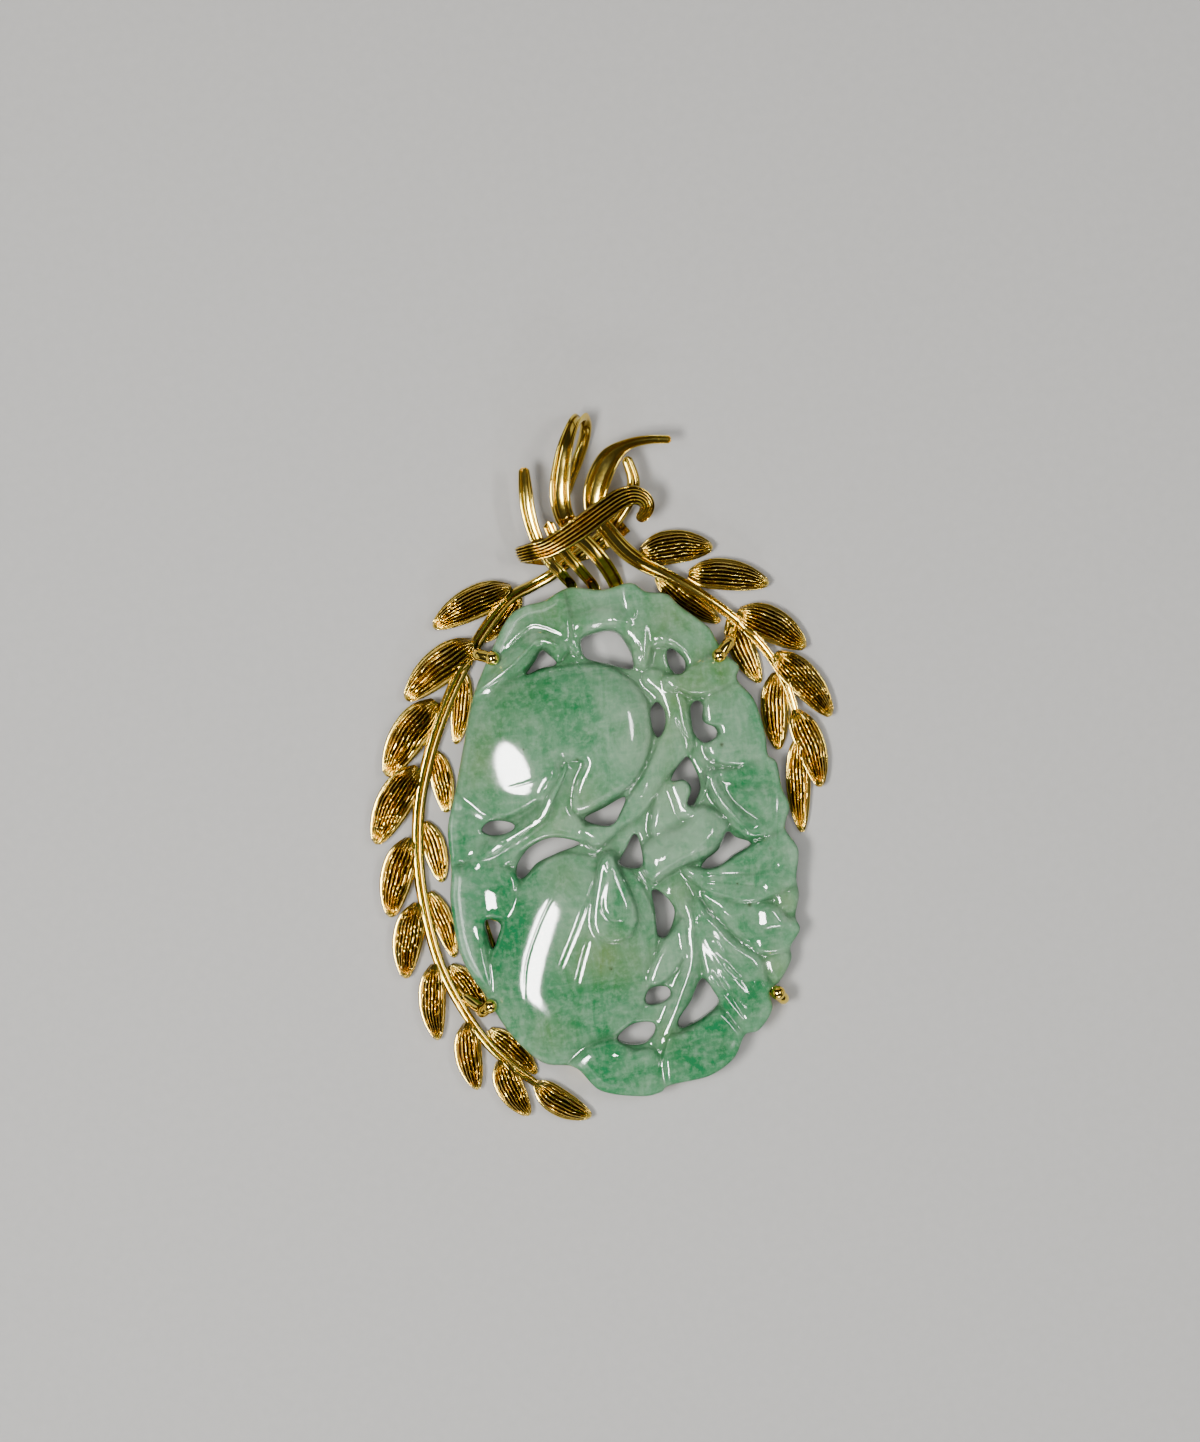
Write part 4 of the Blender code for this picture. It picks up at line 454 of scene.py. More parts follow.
RIGHT_INNER_LEAVES = (
    Leaf(2.9, (7.9, 30.6), (14.6, 24.4)), Leaf(3.1, (15.9, 25.0), (18.4, 16.8)),
    Leaf(3.3, (20.4, 17.8), (19.6, 8.8)))
HIDDEN_LEAF = (Leaf(2.9, (22.2, 10.2), (21.2, -1.1)),)

# Rows of leaves: the leaves, their size, their numbers of ridges, their bend, and the first leaf's seed
LEFT_LEAVES = (
    (LEFT_OUTER_LEAVES, OUTER, OUTER_RIDGES, OUTER_BEND, 100),
    (LEFT_INNER_LEAVES, INNER, INNER_RIDGES, INNER_BEND, 200))
RIGHT_LEAVES = (
    (RIGHT_OUTER_LEAVES, OUTER, OUTER_RIDGES, -OUTER_BEND, 300),
    (RIGHT_INNER_LEAVES, INNER, INNER_RIDGES, -INNER_BEND, 400),
    (HIDDEN_LEAF, TUCKED, INNER_RIDGES, -INNER_BEND, 500))

# Gold mount: stems. Each runs through its points (u, v, height of its middle, width)
LEFT_STEM = (
    (-13.0, -26.6, 1.3, 0.95), (-15.9, -23.9, 1.3, 1.1), (-18.4, -20.8, 1.3, 1.2), (-20.8, -16.3, 1.3, 1.22),
    (-22.6, -11.3, 1.3, 1.28), (-23.4, -6.3, 1.3, 1.35), (-23.7, -1.3, 1.3, 1.4), (-23.4, 3.7, 1.3, 1.45),
    (-22.4, 8.7, 1.3, 1.5), (-20.4, 14.2, 1.3, 1.55), (-17.9, 19.2, 1.3, 1.55), (-15.2, 23.5, 1.3, 1.5),
    (-12.6, 26.9, 1.3, 1.5), (-9.4, 30.0, 1.3, 1.5), (-6.6, 31.2, 1.4, 1.4), (-4.4, 32.1, 1.7, 1.4),
    (-2.4, 33.3, 1.85, 1.4), (0.2, 34.8, 2.0, 1.45), (2.8, 36.5, 2.3, 1.5), (5.2, 39.0, 3.2, 1.6),
    (6.5, 41.6, 3.9, 1.55), (6.0, 44.7, 4.2, 1.25))
RIGHT_STEM = (
    (22.1, 12.9, 1.4, 0.9), (21.4, 16.4, 1.4, 1.0), (20.0, 19.6, 1.4, 1.05), (17.9, 22.8, 1.4, 1.1),
    (15.1, 25.8, 1.4, 1.2), (12.2, 28.3, 1.5, 1.3), (9.4, 30.3, 1.8, 1.5), (6.6, 32.1, 2.4, 1.8),
    (4.6, 33.9, 3.3, 2.0), (3.0, 36.1, 4.2, 2.0), (1.7, 38.2, 4.8, 2.2), (1.8, 40.4, 5.1, 2.7),
    (2.7, 42.7, 5.2, 2.9), (4.2, 44.8, 5.2, 2.5), (6.3, 46.0, 5.0, 1.4), (8.7, 46.3, 4.7, 1.1),
    (11.4, 46.05, 4.3, 1.0))
BAIL_STEM = (
    (3.4, 28.9, 0.7, 1.7), (3.0, 30.5, 0.75, 1.8), (2.1, 32.5, 2.2, 1.85), (0.8, 34.5, 3.7, 1.9),
    (-0.9, 36.6, 4.8, 2.1), (-2.0, 38.8, 5.8, 2.3), (-2.15, 41.4, 6.4, 2.4), (-1.6, 44.2, 6.5, 2.2),
    (-0.7, 46.9, 6.4, 1.8), (0.5, 49.2, 5.4, 1.4), (1.4, 49.9, 3.8, 1.4), (1.8, 49.1, 2.1, 1.4),
    (1.4, 47.4, 1.1, 1.4), (0.4, 45.2, 0.75, 1.4), (-0.8, 43.0, 0.7, 1.4), (-1.6, 41.2, 0.7, 1.3))
MIDDLE_STEM = (
    (1.0, 28.9, 0.65, 1.26), (0.4, 30.4, 0.7, 1.3), (-0.3, 31.5, 2.1, 1.3), (-1.2, 32.8, 3.4, 1.35),
    (-2.2, 34.2, 4.2, 1.4), (-3.3, 36.2, 4.9, 1.4), (-3.95, 38.2, 5.1, 1.4))
SLIM_STEM = (
    (-1.7, 28.9, 0.65, 1.2), (-2.1, 30.7, 0.68, 1.25), (-2.4, 31.2, 1.5, 1.3), (-2.8, 31.7, 2.9, 1.3),
    (-3.2, 32.3, 3.7, 1.35), (-3.9, 33.2, 4.2, 1.4), (-4.7, 34.5, 4.5, 1.45), (-5.5, 36.6, 4.9, 1.55),
    (-6.0, 39.4, 5.2, 1.65), (-6.05, 42.0, 5.2, 1.65), (-5.95, 44.8, 4.9, 1.25))
SWEEP_STEP = 0.3
SECTION_STEPS = 5
TIP_LENGTH = 0.4
SHORT_TIP_LENGTH = 0.2
TIP_SCALE = 0.4
BRANCH_WIDTH = 1.7
BRANCH_HEIGHT = 1.35
STRAND_WIDTH = 2.1
SLIM_WIDTH = 1.4
RIGHT_STEM_HEIGHT = 1.3
STRAND_HEIGHT = 1.15
SLIM_HEIGHT = 0.95
CHANNEL_DEPTH = 0.6
SLIM_CHANNEL_DEPTH = 0.45
RIGHT_STEM_RAIL = 0.4
STRAND_RAIL = 0.42
SLIM_RAIL = 0.34
BAIL_TURN_START = 41.0
BAIL_MIDDLE = (44.0, 3.5)
BAIL_LEAN = 0.35

# Gold mount: the tie, a ribbed strip bent once round the stems and curled at its end (u, v, height, width)
TIE_ROUTE = (
    (5.0, 37.0, 0.75, 2.0), (2.8, 35.6, 0.5, 2.0), (-0.4, 34.4, 0.47, 2.0), (-4.2, 34.25, 0.55, 2.0),
    (-6.6, 34.6, 1.45, 1.95), (-7.8, 34.8, 3.6, 1.95), (-6.6, 34.9, 5.6, 2.1), (-4.0, 35.3, 6.2, 2.4),
    (-0.6, 36.9, 6.6, 2.7), (2.6, 38.7, 6.85, 2.6), (4.8, 39.8, 6.8, 2.5), (6.3, 40.1, 6.5, 2.3),
    (7.4, 39.6, 5.9, 2.1), (7.8, 38.7, 5.1, 1.9), (7.3, 37.8, 4.3, 1.6), (6.4, 37.3, 3.8, 1.2))
TIE_CURL_START = 2.4
TIE_CURL_UP = (0.3, 0.09, 1.0)
TIE_WIDTH = 2.6
TIE_THICKNESS = 0.75
TIE_RIBS = 6
TIE_RIB_DEPTH = 0.3
TIE_RIB_SAMPLES = 10
TIE_RIB_POWER = 1.4
TIE_CROWN = 0.26
# Painted shade in the grooves between the ribs
TIE_GROOVE_SHADE = 1.25
TIE_GROOVE_SHADE_POWER = 1.1
TIE_MIDDLE = (0.3, 3.7)
TIE_LEAN = (0.3, 2.4)

# Gold mount: claws. Each rises from its foot beside the stone and ends in a ball over the stone's edge
CLAW_RADIUS = 0.7
CLAW_BALL_RADIUS = 0.85
CLAW_SIDES = 20
CLAW_GAP = 0.06
CLAW_KNEE_HEIGHT = 2.6
CLAW_BEND_DROP = 0.7
CLAW_SAMPLES = 25
WIRE_RECESS = 0.05
BALL_POLE = 0.04
BALL_TURNS = 28
Claw = namedtuple("Claw", "foot knee ball")
UPPER_LEFT_CLAW = Claw(((-15.0, 24.2, 1.3),), (-13.8, 23.9), (-12.2, 23.3))
LOWER_LEFT_CLAW = Claw(((-20.0, -15.6, 1.0),), (-18.2, -17.2), (-17.3, -16.7))
UPPER_RIGHT_CLAW = Claw(((16.0, 23.4, 1.0),), (15.3, 21.9), (13.9, 20.5))
LOWER_RIGHT_CLAW = Claw(((13.4, -16.2, 0.77), (15.2, -18.5, 0.77), (16.2, -19.6, 0.85)), (16.6, -19.9),
                        (16.1, -19.2))

# Colours
GREEN_JADE = (0.009, 0.168, 0.058, 1.0)
PALE_JADE = (0.198, 0.345, 0.225, 1.0)
WARM_JADE = (0.135, 0.205, 0.06, 1.0)
MILKY_JADE = (0.345, 0.48, 0.352, 1.0)
# Painted shade in the stone's valleys
PAINTED_SHADE_JADE = (0.03, 0.1, 0.035, 1.0)
SPECK_COLOUR = (0.04, 0.035, 0.015, 1.0)
GOLD = (0.71, 0.455, 0.05, 1.0)
PALE_GOLD = (0.95, 0.765, 0.175, 1.0)
# Painted shade of the gold, also the colour of its fine dark grain
SHADE_AND_GRAIN_GOLD = (0.05, 0.016, 0.001, 1.0)
FLOOR_LIGHT = (0.46, 0.455, 0.445, 1.0)
FLOOR_DARK = (0.43, 0.425, 0.415, 1.0)

# Materials: noises by scale, detail, roughness, distortion, and their stretch and turn. A range maps a value
# between its first two numbers to a value between its last two, or to one between 0 and 1
BUMP_DISTANCE = 0.00005
JADE_SETTINGS = {"IOR": 1.66, "Subsurface Weight": 0.3, "Subsurface Radius": (0.55, 1.0, 0.65),
                 "Subsurface Scale": 0.0012}
CLOUD_NOISE = (180.0, 4.0, 0.58, 1.4)
FIBRE_NOISE = (420.0, 6.0, 0.66, 1.2, ((1.0, 0.35, 0.6), (0.0, 0.0, 0.6)))
STREAK_NOISE = (700.0, 3.0, 0.55, 1.0, ((0.22, 1.0, 0.6), (0.0, 0.0, -0.62)))
JADE_GRAIN_NOISE = (1500.0, 4.0, 0.6)
GREEN_BY_CLOUDS = (0.3, 0.7, -0.38, 0.38)
GREEN_BY_FIBRES = (0.3, 0.7, -0.34, 0.34)
GREEN_BY_STREAKS = (0.45, 0.78, 0.06, -0.34)
GREEN_RANGE = (-0.1, 1.1)
WARM_BY_FIBRES = (0.3, 0.65, 0.35, 1.1)
MILKY_BY_GRAIN = (0.47, 0.75, 0.0, 0.3)
VALLEY_SHADE = 0.45
RIM_RANGE = (0.1, 0.4)
JADE_ROUGHNESS = (0.3, 0.8, 0.05, 0.12)
RIM_ROUGHNESS = 0.22
RIM_SHINE = (0.0, 1.0, 0.5, 0.06)
JADE_BUMP_NOISE = (900.0, 3.0)
JADE_BUMP = 0.1
GOLD_SETTINGS = {"Metallic": 1.0}
GOLD_GRAIN_NOISE = (2600.0, 5.0, 0.6)
PATCH_NOISE = (500.0, 4.0, 0.6)
DARK_BY_PATCHES = (0.3, 0.7, 0.95, 1.25)
DARK_BY_GRAIN = (0.6, 0.85, 0.0, 0.25)
PALE_BY_PATCHES = (0.3, 0.75)
RECESS_ROUGHNESS = (0.0, 1.0, 0.07, 0.26)
GRAIN_ROUGHNESS = (0.3, 0.7, 0.0, 0.05)
HAMMER_NOISE = (650.0, 2.0)
HAMMER_GRAIN_SHARE = 0.15
GOLD_BUMP = 0.14
FLOOR_SETTINGS = {"Roughness": 0.8}
FLOOR_NOISE = (900.0, 4.0)
FLOOR_RANGE = (0.2, 0.8)
FLOOR_BUMP = 0.15
FLOOR_SIZE = 4.0

# Lights: name, place, width and height, power in watts, colour, whether it lights matt surfaces, and whether
# it shows in the polish
LIGHTS = (
    ("key", (-0.17, -0.045, 0.46), (0.15, 0.1), 2.4, (1.0, 0.98, 0.95), True, False),
    ("shine", (-0.163, -0.043, 0.442), (0.23, 0.125), 6.6, (1.0, 0.98, 0.95), False, True),
    ("side", (0.23, 0.03, 0.42), (0.16, 0.035), 0.6, (1.0, 0.99, 0.97), True, True),
    ("front", (0.05, -0.52, 0.24), (0.16, 0.06), 0.9, (1.0, 0.99, 0.97), True, True),
    ("low front", (0.0, -0.45, 0.2), (0.6, 0.24), 0.5, (1.0, 0.97, 0.92), False, True),
    ("low left", (-0.45, 0.0, 0.16), (0.5, 0.2), 0.2, (1.0, 0.97, 0.92), False, True),
    ("low right", (0.45, 0.0, 0.16), (0.5, 0.2), 0.2, (1.0, 0.97, 0.92), False, True),
    ("low back", (0.0, 0.45, 0.16), (0.6, 0.2), 0.2, (1.0, 0.97, 0.92), False, True),
    ("above", (0.02, 0.02, 0.8), (0.5, 0.5), 2.6, (1.0, 1.0, 1.0), True, False),
)
WORLD_COLOUR = (0.75, 0.77, 0.8, 1.0)
WORLD_STRENGTH = 0.045


def place(u, v, height):
    """Position in metres of a plan position and height in millimetres."""
    return ((u + STONE_MIDDLE[0]) * MM, (v + STONE_MIDDLE[1]) * MM, height * MM)


def curve_through(points, closed, span_steps=12):
    """Dense Catmull-Rom curve through points of any dimension."""
    knots = np.array(points, dtype=float)
    count = len(knots)
    if closed:
        ring = np.vstack([knots[-1], knots, knots[0], knots[1]])
        spans = count
    else:
        ring = np.vstack([2 * knots[0] - knots[1], knots, 2 * knots[-1] - knots[-2]])
        spans = count - 1
    steps = np.linspace(0.0, 1.0, span_steps, endpoint=False)[:, None]
    pieces = []
    for index in range(spans):
        a, b, c, d = ring[index:index + 4]
        pieces.append(0.5 * (2 * b + (c - a) * steps + (2 * a - 5 * b + 4 * c - d) * steps ** 2
                             + (3 * b - a - 3 * c + d) * steps ** 3))
    if not closed:
        pieces.append(knots[-1:])
    return np.vstack(pieces)


def resample(curve, step, closed):
    """Points at even steps along a dense curve, with its ends kept."""
    loop = np.vstack([curve, curve[:1]]) if closed else curve
    lengths = np.linalg.norm(np.diff(loop, axis=0), axis=1)
    travelled = np.concatenate([[0.0], np.cumsum(lengths)])
    count = max(3, round(travelled[-1] / step))
    marks = np.linspace(0.0, travelled[-1], count + 1)
    if closed:
        marks = marks[:-1]
    return np.column_stack([np.interp(marks, travelled, loop[:, axis]) for axis in range(loop.shape[1])])


def unit(vectors):
    """Rows of vectors at length one."""
    return vectors / np.linalg.norm(vectors, axis=1)[:, None]


def leftwards(run):
    """Plan directions turned a quarter turn to the left."""
    return np.column_stack([-run[:, 1], run[:, 0]])


def spread(values, along):
    """Values given at even steps from 0 to 1, blended between them. A single value holds everywhere."""
    values = np.atleast_1d(values)
    return np.interp(along, np.linspace(0.0, 1.0, len(values)), values)


def near_box(points, curve, margin):
    """True for each plan point within a margin of the box round a curve."""
    return np.all((points > curve.min(axis=0) - margin) & (points < curve.max(axis=0) + margin), axis=1)


def distance_to_path(points, path):
    """Distance from each plan point to a path of straight pieces, and its place along the path, 0 to 1."""
    nearest = np.full(len(points), np.inf)
    along = np.zeros(len(points))
    for index in range(len(path) - 1):
        start = path[index]
        run = path[index + 1] - start
        offset = points - start
        share = np.clip(offset @ run / max(run @ run, TINY), 0.0, 1.0)
        away = np.hypot(offset[:, 0] - share * run[0], offset[:, 1] - share * run[1])
        closer = away < nearest
        nearest[closer] = away[closer]
        along[closer] = (index + share[closer]) / (len(path) - 1)
    return nearest, along


def inside_loop(points, loop):
    """True for each plan point inside a closed loop."""
    result = np.zeros(len(points), dtype=bool)
    following = np.roll(loop, -1, axis=0)
    for (u0, v0), (u1, v1) in zip(loop, following):
        if v0 == v1:
            continue
        crosses = (points[:, 1] < v0) != (points[:, 1] < v1)
        reach = u0 + (points[:, 1] - v0) * (u1 - u0) / (v1 - v0)
        result ^= crosses & (points[:, 0] < reach)
    return result


def signed_distance(points, loop):
    """Distance to a closed loop, positive inside it."""
    distance, _ = distance_to_path(points, np.vstack([loop, loop[:1]]))
    return np.where(inside_loop(points, loop), distance, -distance)


def quarter_round(share):
    """Rise of a quarter circle, 0 at share 0 and 1 from share 1 on."""
    return np.sqrt(1.0 - (1.0 - np.clip(share, 0.0, 1.0)) ** 2)


def blur(field, radius):
    """The field averaged over a bell curve whose half-width is radius, in millimetres."""
    sigma = radius / FIELD_STEP
    reach = max(1, math.ceil(3.0 * sigma))
    weights = np.exp(-0.5 * (np.arange(-reach, reach + 1) / sigma) ** 2)
    weights /= weights.sum()
    for axis in (0, 1):
        pad = [(reach, reach) if axis == side else (0, 0) for side in (0, 1)]
        padded = np.pad(field, pad, mode="edge")
        size = field.shape[axis]
        field = sum(weight * np.take(padded, range(shift, shift + size), axis=axis)
                    for shift, weight in enumerate(weights))
    return field


def window(points, margin):
    """Slices of the height field round some plan points with a margin, and the field's plan points there."""
    low = points.min(axis=0) - margin
    high = points.max(axis=0) + margin
    first_u, last_u = np.searchsorted(FIELD_U, (low[0], high[0]))
    first_v, last_v = np.searchsorted(FIELD_V, (low[1], high[1]))
    u, v = np.meshgrid(FIELD_U[first_u:last_u], FIELD_V[first_v:last_v])
    return (slice(first_v, last_v), slice(first_u, last_u)), np.column_stack([u.ravel(), v.ravel()])


# How a line lies in the field: its path, the part of the field that it reaches and the plan points there, and
# for each of them its distance from the path, its place along it, the line's half-width, rise and strength
Trace = namedtuple("Trace", "path part points away along half_width rise fade")


def trace(line, fade_share):
    """How a line that fades in from its ends lies in the field."""
    path = curve_through(line.points, False, COARSE_STEPS)
    part, points = window(path, LINE_REACH * np.max(line.half_width))
    away, along = distance_to_path(points, path)
    half_width = spread(line.half_width, along)
    fade = np.sqrt(np.clip(np.minimum(along, 1.0 - along) / fade_share, 0.0, 1.0))
    return Trace(path, part, points, away, along, half_width, spread(line.rise, along), fade)


def add_line(height, line, fade_share, sharpness):
    """Raise or sink the field along a line, whose crest is the flatter the greater its sharpness."""
    at = trace(line, fade_share)
    rise = at.rise * at.fade * np.exp(-(at.away / at.half_width) ** sharpness)
    height[at.part] += rise.reshape(height[at.part].shape)


def add_crest(height, line):
    """Polish a flat crest along a line. It stands above the field there and leans the same way all along."""
    at = trace(line, CREST_FADE_SHARE)
    start = np.clip((at.along * (len(at.path) - 1)).astype(int), 0, len(at.path) - 2)
    run = unit(at.path[start + 1] - at.path[start])
    offset = at.points - at.path[start]
    side = run[:, 0] * offset[:, 1] - run[:, 1] * offset[:, 0]
    lean = run[:, 0] * CREST_LEAN[1] - run[:, 1] * CREST_LEAN[0]
    before = height[at.part].ravel()
    crest = spread(sample(height, at.path), at.along) + at.rise * at.fade + lean * side
    weight = at.fade * np.exp(-(at.away / at.half_width) ** CREST_SHARPNESS)
    height[at.part] = (before + weight * (crest - before)).reshape(height[at.part].shape)


def carved_field():
    """Height of the carved front above the stone's back, on the field's even grid."""
    height = np.full((len(FIELD_V), len(FIELD_U)), GROUND_HEIGHT)
    for name, form in FORMS.items():
        loop = curve_through(form.outline, True, COARSE_STEPS)
        part, points = window(loop, form.rim / SKIRT_SLOPE + FORM_MARGIN)
        depth = signed_distance(points, loop)
        share = np.clip(depth / form.reach, 0.0, 1.0)
        fullness = share * (2.0 - share) if name in PARABOLIC_FORMS else quarter_round(share)
        lean = (points - np.mean(form.outline, axis=0)) @ np.array(form.lean)
        if name in SWELLS:
            swell = SWELLS[name]
            away, _ = distance_to_path(points, np.array(swell.spine))
            lean = lean + swell.rise - 0.5 * swell.fall * away ** 2
        if name in NOTCHES:
            notch = NOTCHES[name]
            away = -signed_distance(points, curve_through(notch.outline, True, COARSE_STEPS))
            fullness = np.minimum(fullness, quarter_round(away / notch.reach))
        rise = lean + form.rim + np.where(depth > 0.0, form.crown * fullness, SKIRT_SLOPE * depth)
        before = height[part]
        rise = rise.reshape(before.shape)
        height[part] = 0.5 * (before + rise + np.sqrt((before - rise) ** 2 + FORM_SOFTNESS ** 2))
    for line in LINES:
        sharpness = RIDGE_SHARPNESS if np.min(line.rise) > 0.0 else GROOVE_SHARPNESS
        add_line(height, line, LINE_FADE_SHARE, sharpness)
    u, v = np.meshgrid(FIELD_U, FIELD_V)
    height += DOME_RISE * np.maximum(1.0 - (u / DOME_HALF_WIDTH) ** 2 - (v / DOME_HALF_HEIGHT) ** 2, 0.0)
    height = blur(height, POLISH_RADIUS)
    for line in CRESTS:
        add_crest(height, line)
    for line in FINE_LINES:
        add_line(height, line, FINE_FADE_SHARE, GROOVE_SHARPNESS)
    return height


def sample(field, points):
    """Values of the field at plan points, blended between the grid's points."""
    across = (points[:, 0] - FIELD_U[0]) / FIELD_STEP
    along = (points[:, 1] - FIELD_V[0]) / FIELD_STEP
    column = np.clip(across.astype(int), 0, len(FIELD_U) - 2)
    row = np.clip(along.astype(int), 0, len(FIELD_V) - 2)
    right = across - column
    up = along - row
    return ((1 - up) * ((1 - right) * field[row, column] + right * field[row, column + 1])
            + up * ((1 - right) * field[row + 1, column] + right * field[row + 1, column + 1]))


def loops_of_stone(step):
    """The stone's outline and its piercings as evenly stepped closed loops, outline first."""
    outlines = (STONE_OUTLINE, *PIERCINGS.values())
    return [resample(curve_through(outline, True), step, True) for outline in outlines]


def depth_in_stone(points, loops):
    """Distance from each plan point to the nearest edge of the stone, negative outside it."""
    depth = signed_distance(points, loops[0])
    for hole in loops[1:]:
        near = near_box(points, hole, HOLE_REACH)
        depth[near] = np.minimum(depth[near], -signed_distance(points[near], hole))
    return depth


def inset(loop, amount, is_hole):
    """A closed loop moved into the stone by an amount."""
    following = np.roll(loop, -1, axis=0)
    area = 0.5 * np.sum(loop[:, 0] * following[:, 1] - following[:, 0] * loop[:, 1])
    run = unit(following - np.roll(loop, 1, axis=0))
    inward = leftwards(run) * math.copysign(1.0, area) * (-1.0 if is_hole else 1.0)
    return loop + amount * inward


def line_points(loops):
    """Plan points in rows along the crests and fine lines and across them."""
    rows = []
    for line in POINTED_LINES:
        path = resample(curve_through(line.points, False, COARSE_STEPS), LINE_POINT_STEP, False)
        side = leftwards(unit(np.gradient(path, axis=0)))
        half_width = spread(line.half_width, np.linspace(0.0, 1.0, len(path)))
        shares = CREST_POINT_ROWS if line in CRESTS else LINE_POINT_ROWS
        rows += [path + share * half_width[:, None] * side for share in shares]
    points = np.vstack(rows)
    _, first = np.unique(np.round(points / LINE_POINT_GAP).astype(int), axis=0, return_index=True)
    points = points[np.sort(first)]
    return points[depth_in_stone(points, loops) > ROUNDING_RINGS[-1] + LINE_EDGE_GAP]


def away_from_lines(points):
    """The points that lie clear of the rows along the crests and fine lines."""
    clear = np.ones(len(points), dtype=bool)
    for line in POINTED_LINES:
        path = curve_through(line.points, False, COARSE_STEPS)
        reach = LINE_POINT_ROWS[-1] * np.max(line.half_width) + LINE_CLEARANCE
        near = near_box(points, path, reach)
        clear[near] &= distance_to_path(points[near], path)[0] > reach
    return points[clear]


def fill_plan(points, loops, edge_loops):
    """Triangles over the stone's plan that keep the edge loops, which come first among the points."""
    edges = []
    start = 0
    for loop in edge_loops:
        count = len(loop)
        edges += [(start + i, start + (i + 1) % count) for i in range(count)]
        start += count
    result = delaunay_2d_cdt([Vector(point) for point in points], edges, [], 0, PLAN_TOLERANCE)
    vertices = np.array([tuple(vertex) for vertex in result[0]])
    faces = np.array([tuple(face) for face in result[2]])
    inside = depth_in_stone(vertices[faces].mean(axis=1), loops) > 0.0
    return vertices, faces[inside], edges


def surface_height(points, depth, field):
    """Height above the floor of the stone's front."""
    return STONE_BACK + sample(field, points) - EDGE_DROP * (1.0 - quarter_round(depth / EDGE_ROUND))


def stone_plan(loops, holes):
    """Plan points of the front: the loops, rings inside them, rows along the lines and an even grid."""
    rings = []
    for loop, hole in zip(loops, holes):
        for amount in ROUNDING_RINGS:
            ring = inset(loop, amount, hole)
            rings.append(ring[depth_in_stone(ring, loops) > RING_KEPT_SHARE * amount])
    half_width, half_height = np.abs(loops[0]).max(axis=0)
    columns = np.arange(-half_width, half_width, SURFACE_STEP)
    rows = np.arange(-half_height, half_height, SURFACE_STEP * math.sqrt(3.0) / 2.0)
    grid = np.array([(u + (row % 2) * SURFACE_STEP / 2.0, v) for row, v in enumerate(rows) for u in columns])
    grid = grid[depth_in_stone(grid, loops) > ROUNDING_RINGS[-1] + GRID_GAP_SHARE * SURFACE_STEP]
    return np.vstack(loops + rings + [line_points(loops), away_from_lines(grid)])


def make_jade(field, loops, material):
    """The carved and pierced stone as one closed mesh, with what its material reads as attributes."""
    holes = [index > 0 for index in range(len(loops))]
    front, front_faces, edges = fill_plan(stone_plan(loops, holes), loops, loops)
    edge_count = sum(len(loop) for loop in loops)
    depth = np.maximum(depth_in_stone(front, loops), 0.0)
    depth[:edge_count] = 0.0
    heights = surface_height(front, depth, field)
    back_loops = [inset(loop, BACK_CHAMFER, hole) for loop, hole in zip(loops, holes)]
    back, back_faces, _ = fill_plan(np.vstack(back_loops), loops, back_loops)
    count = len(front)
    vertices = [place(u, v, height) for (u, v), height in zip(front, heights)]
    vertices += [place(u, v, STONE_BACK + BACK_CHAMFER) for u, v in front[:edge_count]]
    vertices += [place(u, v, STONE_BACK) for u, v in back]
    faces = [tuple(face) for face in front_faces.tolist()]
    faces += [(a, b, b + count, a + count) for a, b in edges]
    low = count + edge_count
    faces += [(a + count, b + count, b + low, a + low) for a, b in edges]
    faces += [tuple(reversed([index + low for index in face])) for face in back_faces.tolist()]
    made = mesh_object("jade_carving", vertices, faces, material)
    for polygon in made.data.polygons:
        polygon.use_smooth = polygon.normal.z > FLAT_BACK_NORMAL
    everything = np.vstack([front, front[:edge_count], back])
    # Painted shade: how deep each point lies in a valley, for the material to darken it
    valley = np.clip((blur(field, VALLEY_REACH) - field) / VALLEY_FULL, 0.0, 1.0)
    set_attribute(made, "valley", sample(valley, everything))
    rim = np.ones(len(everything))
    rim[:count] = np.clip(1.0 - signed_distance(front, loops[0]) / RIM_REACH, 0.0, 1.0)
    set_attribute(made, "rim", rim)
    set_attribute(made, "cloud", cloud_amount(everything, CLOUD_BASE, CLOUDS))
    set_attribute(made, "warm", cloud_amount(everything, WARM_BASE, WARM_CLOUDS))
    specks = [(u, v, radius, 1.0) for u, v, radius in SPECKS]
    set_attribute(made, "speck", np.clip(cloud_amount(everything, 0.0, specks), 0.0, 1.0) ** 2)
    return made


def cloud_amount(points, base, clouds):
    """Strength of soft round clouds at each plan point."""
    amount = np.full(len(points), base)
    for u, v, radius, strength in clouds:
        amount += strength * np.exp(-((points[:, 0] - u) ** 2 + (points[:, 1] - v) ** 2) / radius ** 2)
    return amount


def set_attribute(made, name, values):
    """Store one number for each vertex, for the material to read."""
    attribute = made.data.attributes.new(name, "FLOAT", "POINT")
    attribute.data.foreach_set("value", np.asarray(values, dtype=np.float32))


def add_object(name, data):
    """A new object of the scene."""
    made = bpy.data.objects.new(name, data)
    bpy.context.scene.collection.objects.link(made)
    return made


def mesh_object(name, vertices, faces, material):
    """An object with a closed mesh, its faces turned outwards and shaded smooth but for its sharp edges."""
    mesh = bpy.data.meshes.new(name)
    mesh.from_pydata(vertices, [], faces)
    shape = bmesh.new()
    shape.from_mesh(mesh)
    bmesh.ops.recalc_face_normals(shape, faces=shape.faces[:])
    shape.to_mesh(mesh)
    shape.free()
    mesh.materials.append(material)
    mesh.shade_smooth()
    mesh.set_sharp_from_angle(angle=math.radians(SHARP_DEGREES))
    return add_object(name, mesh)


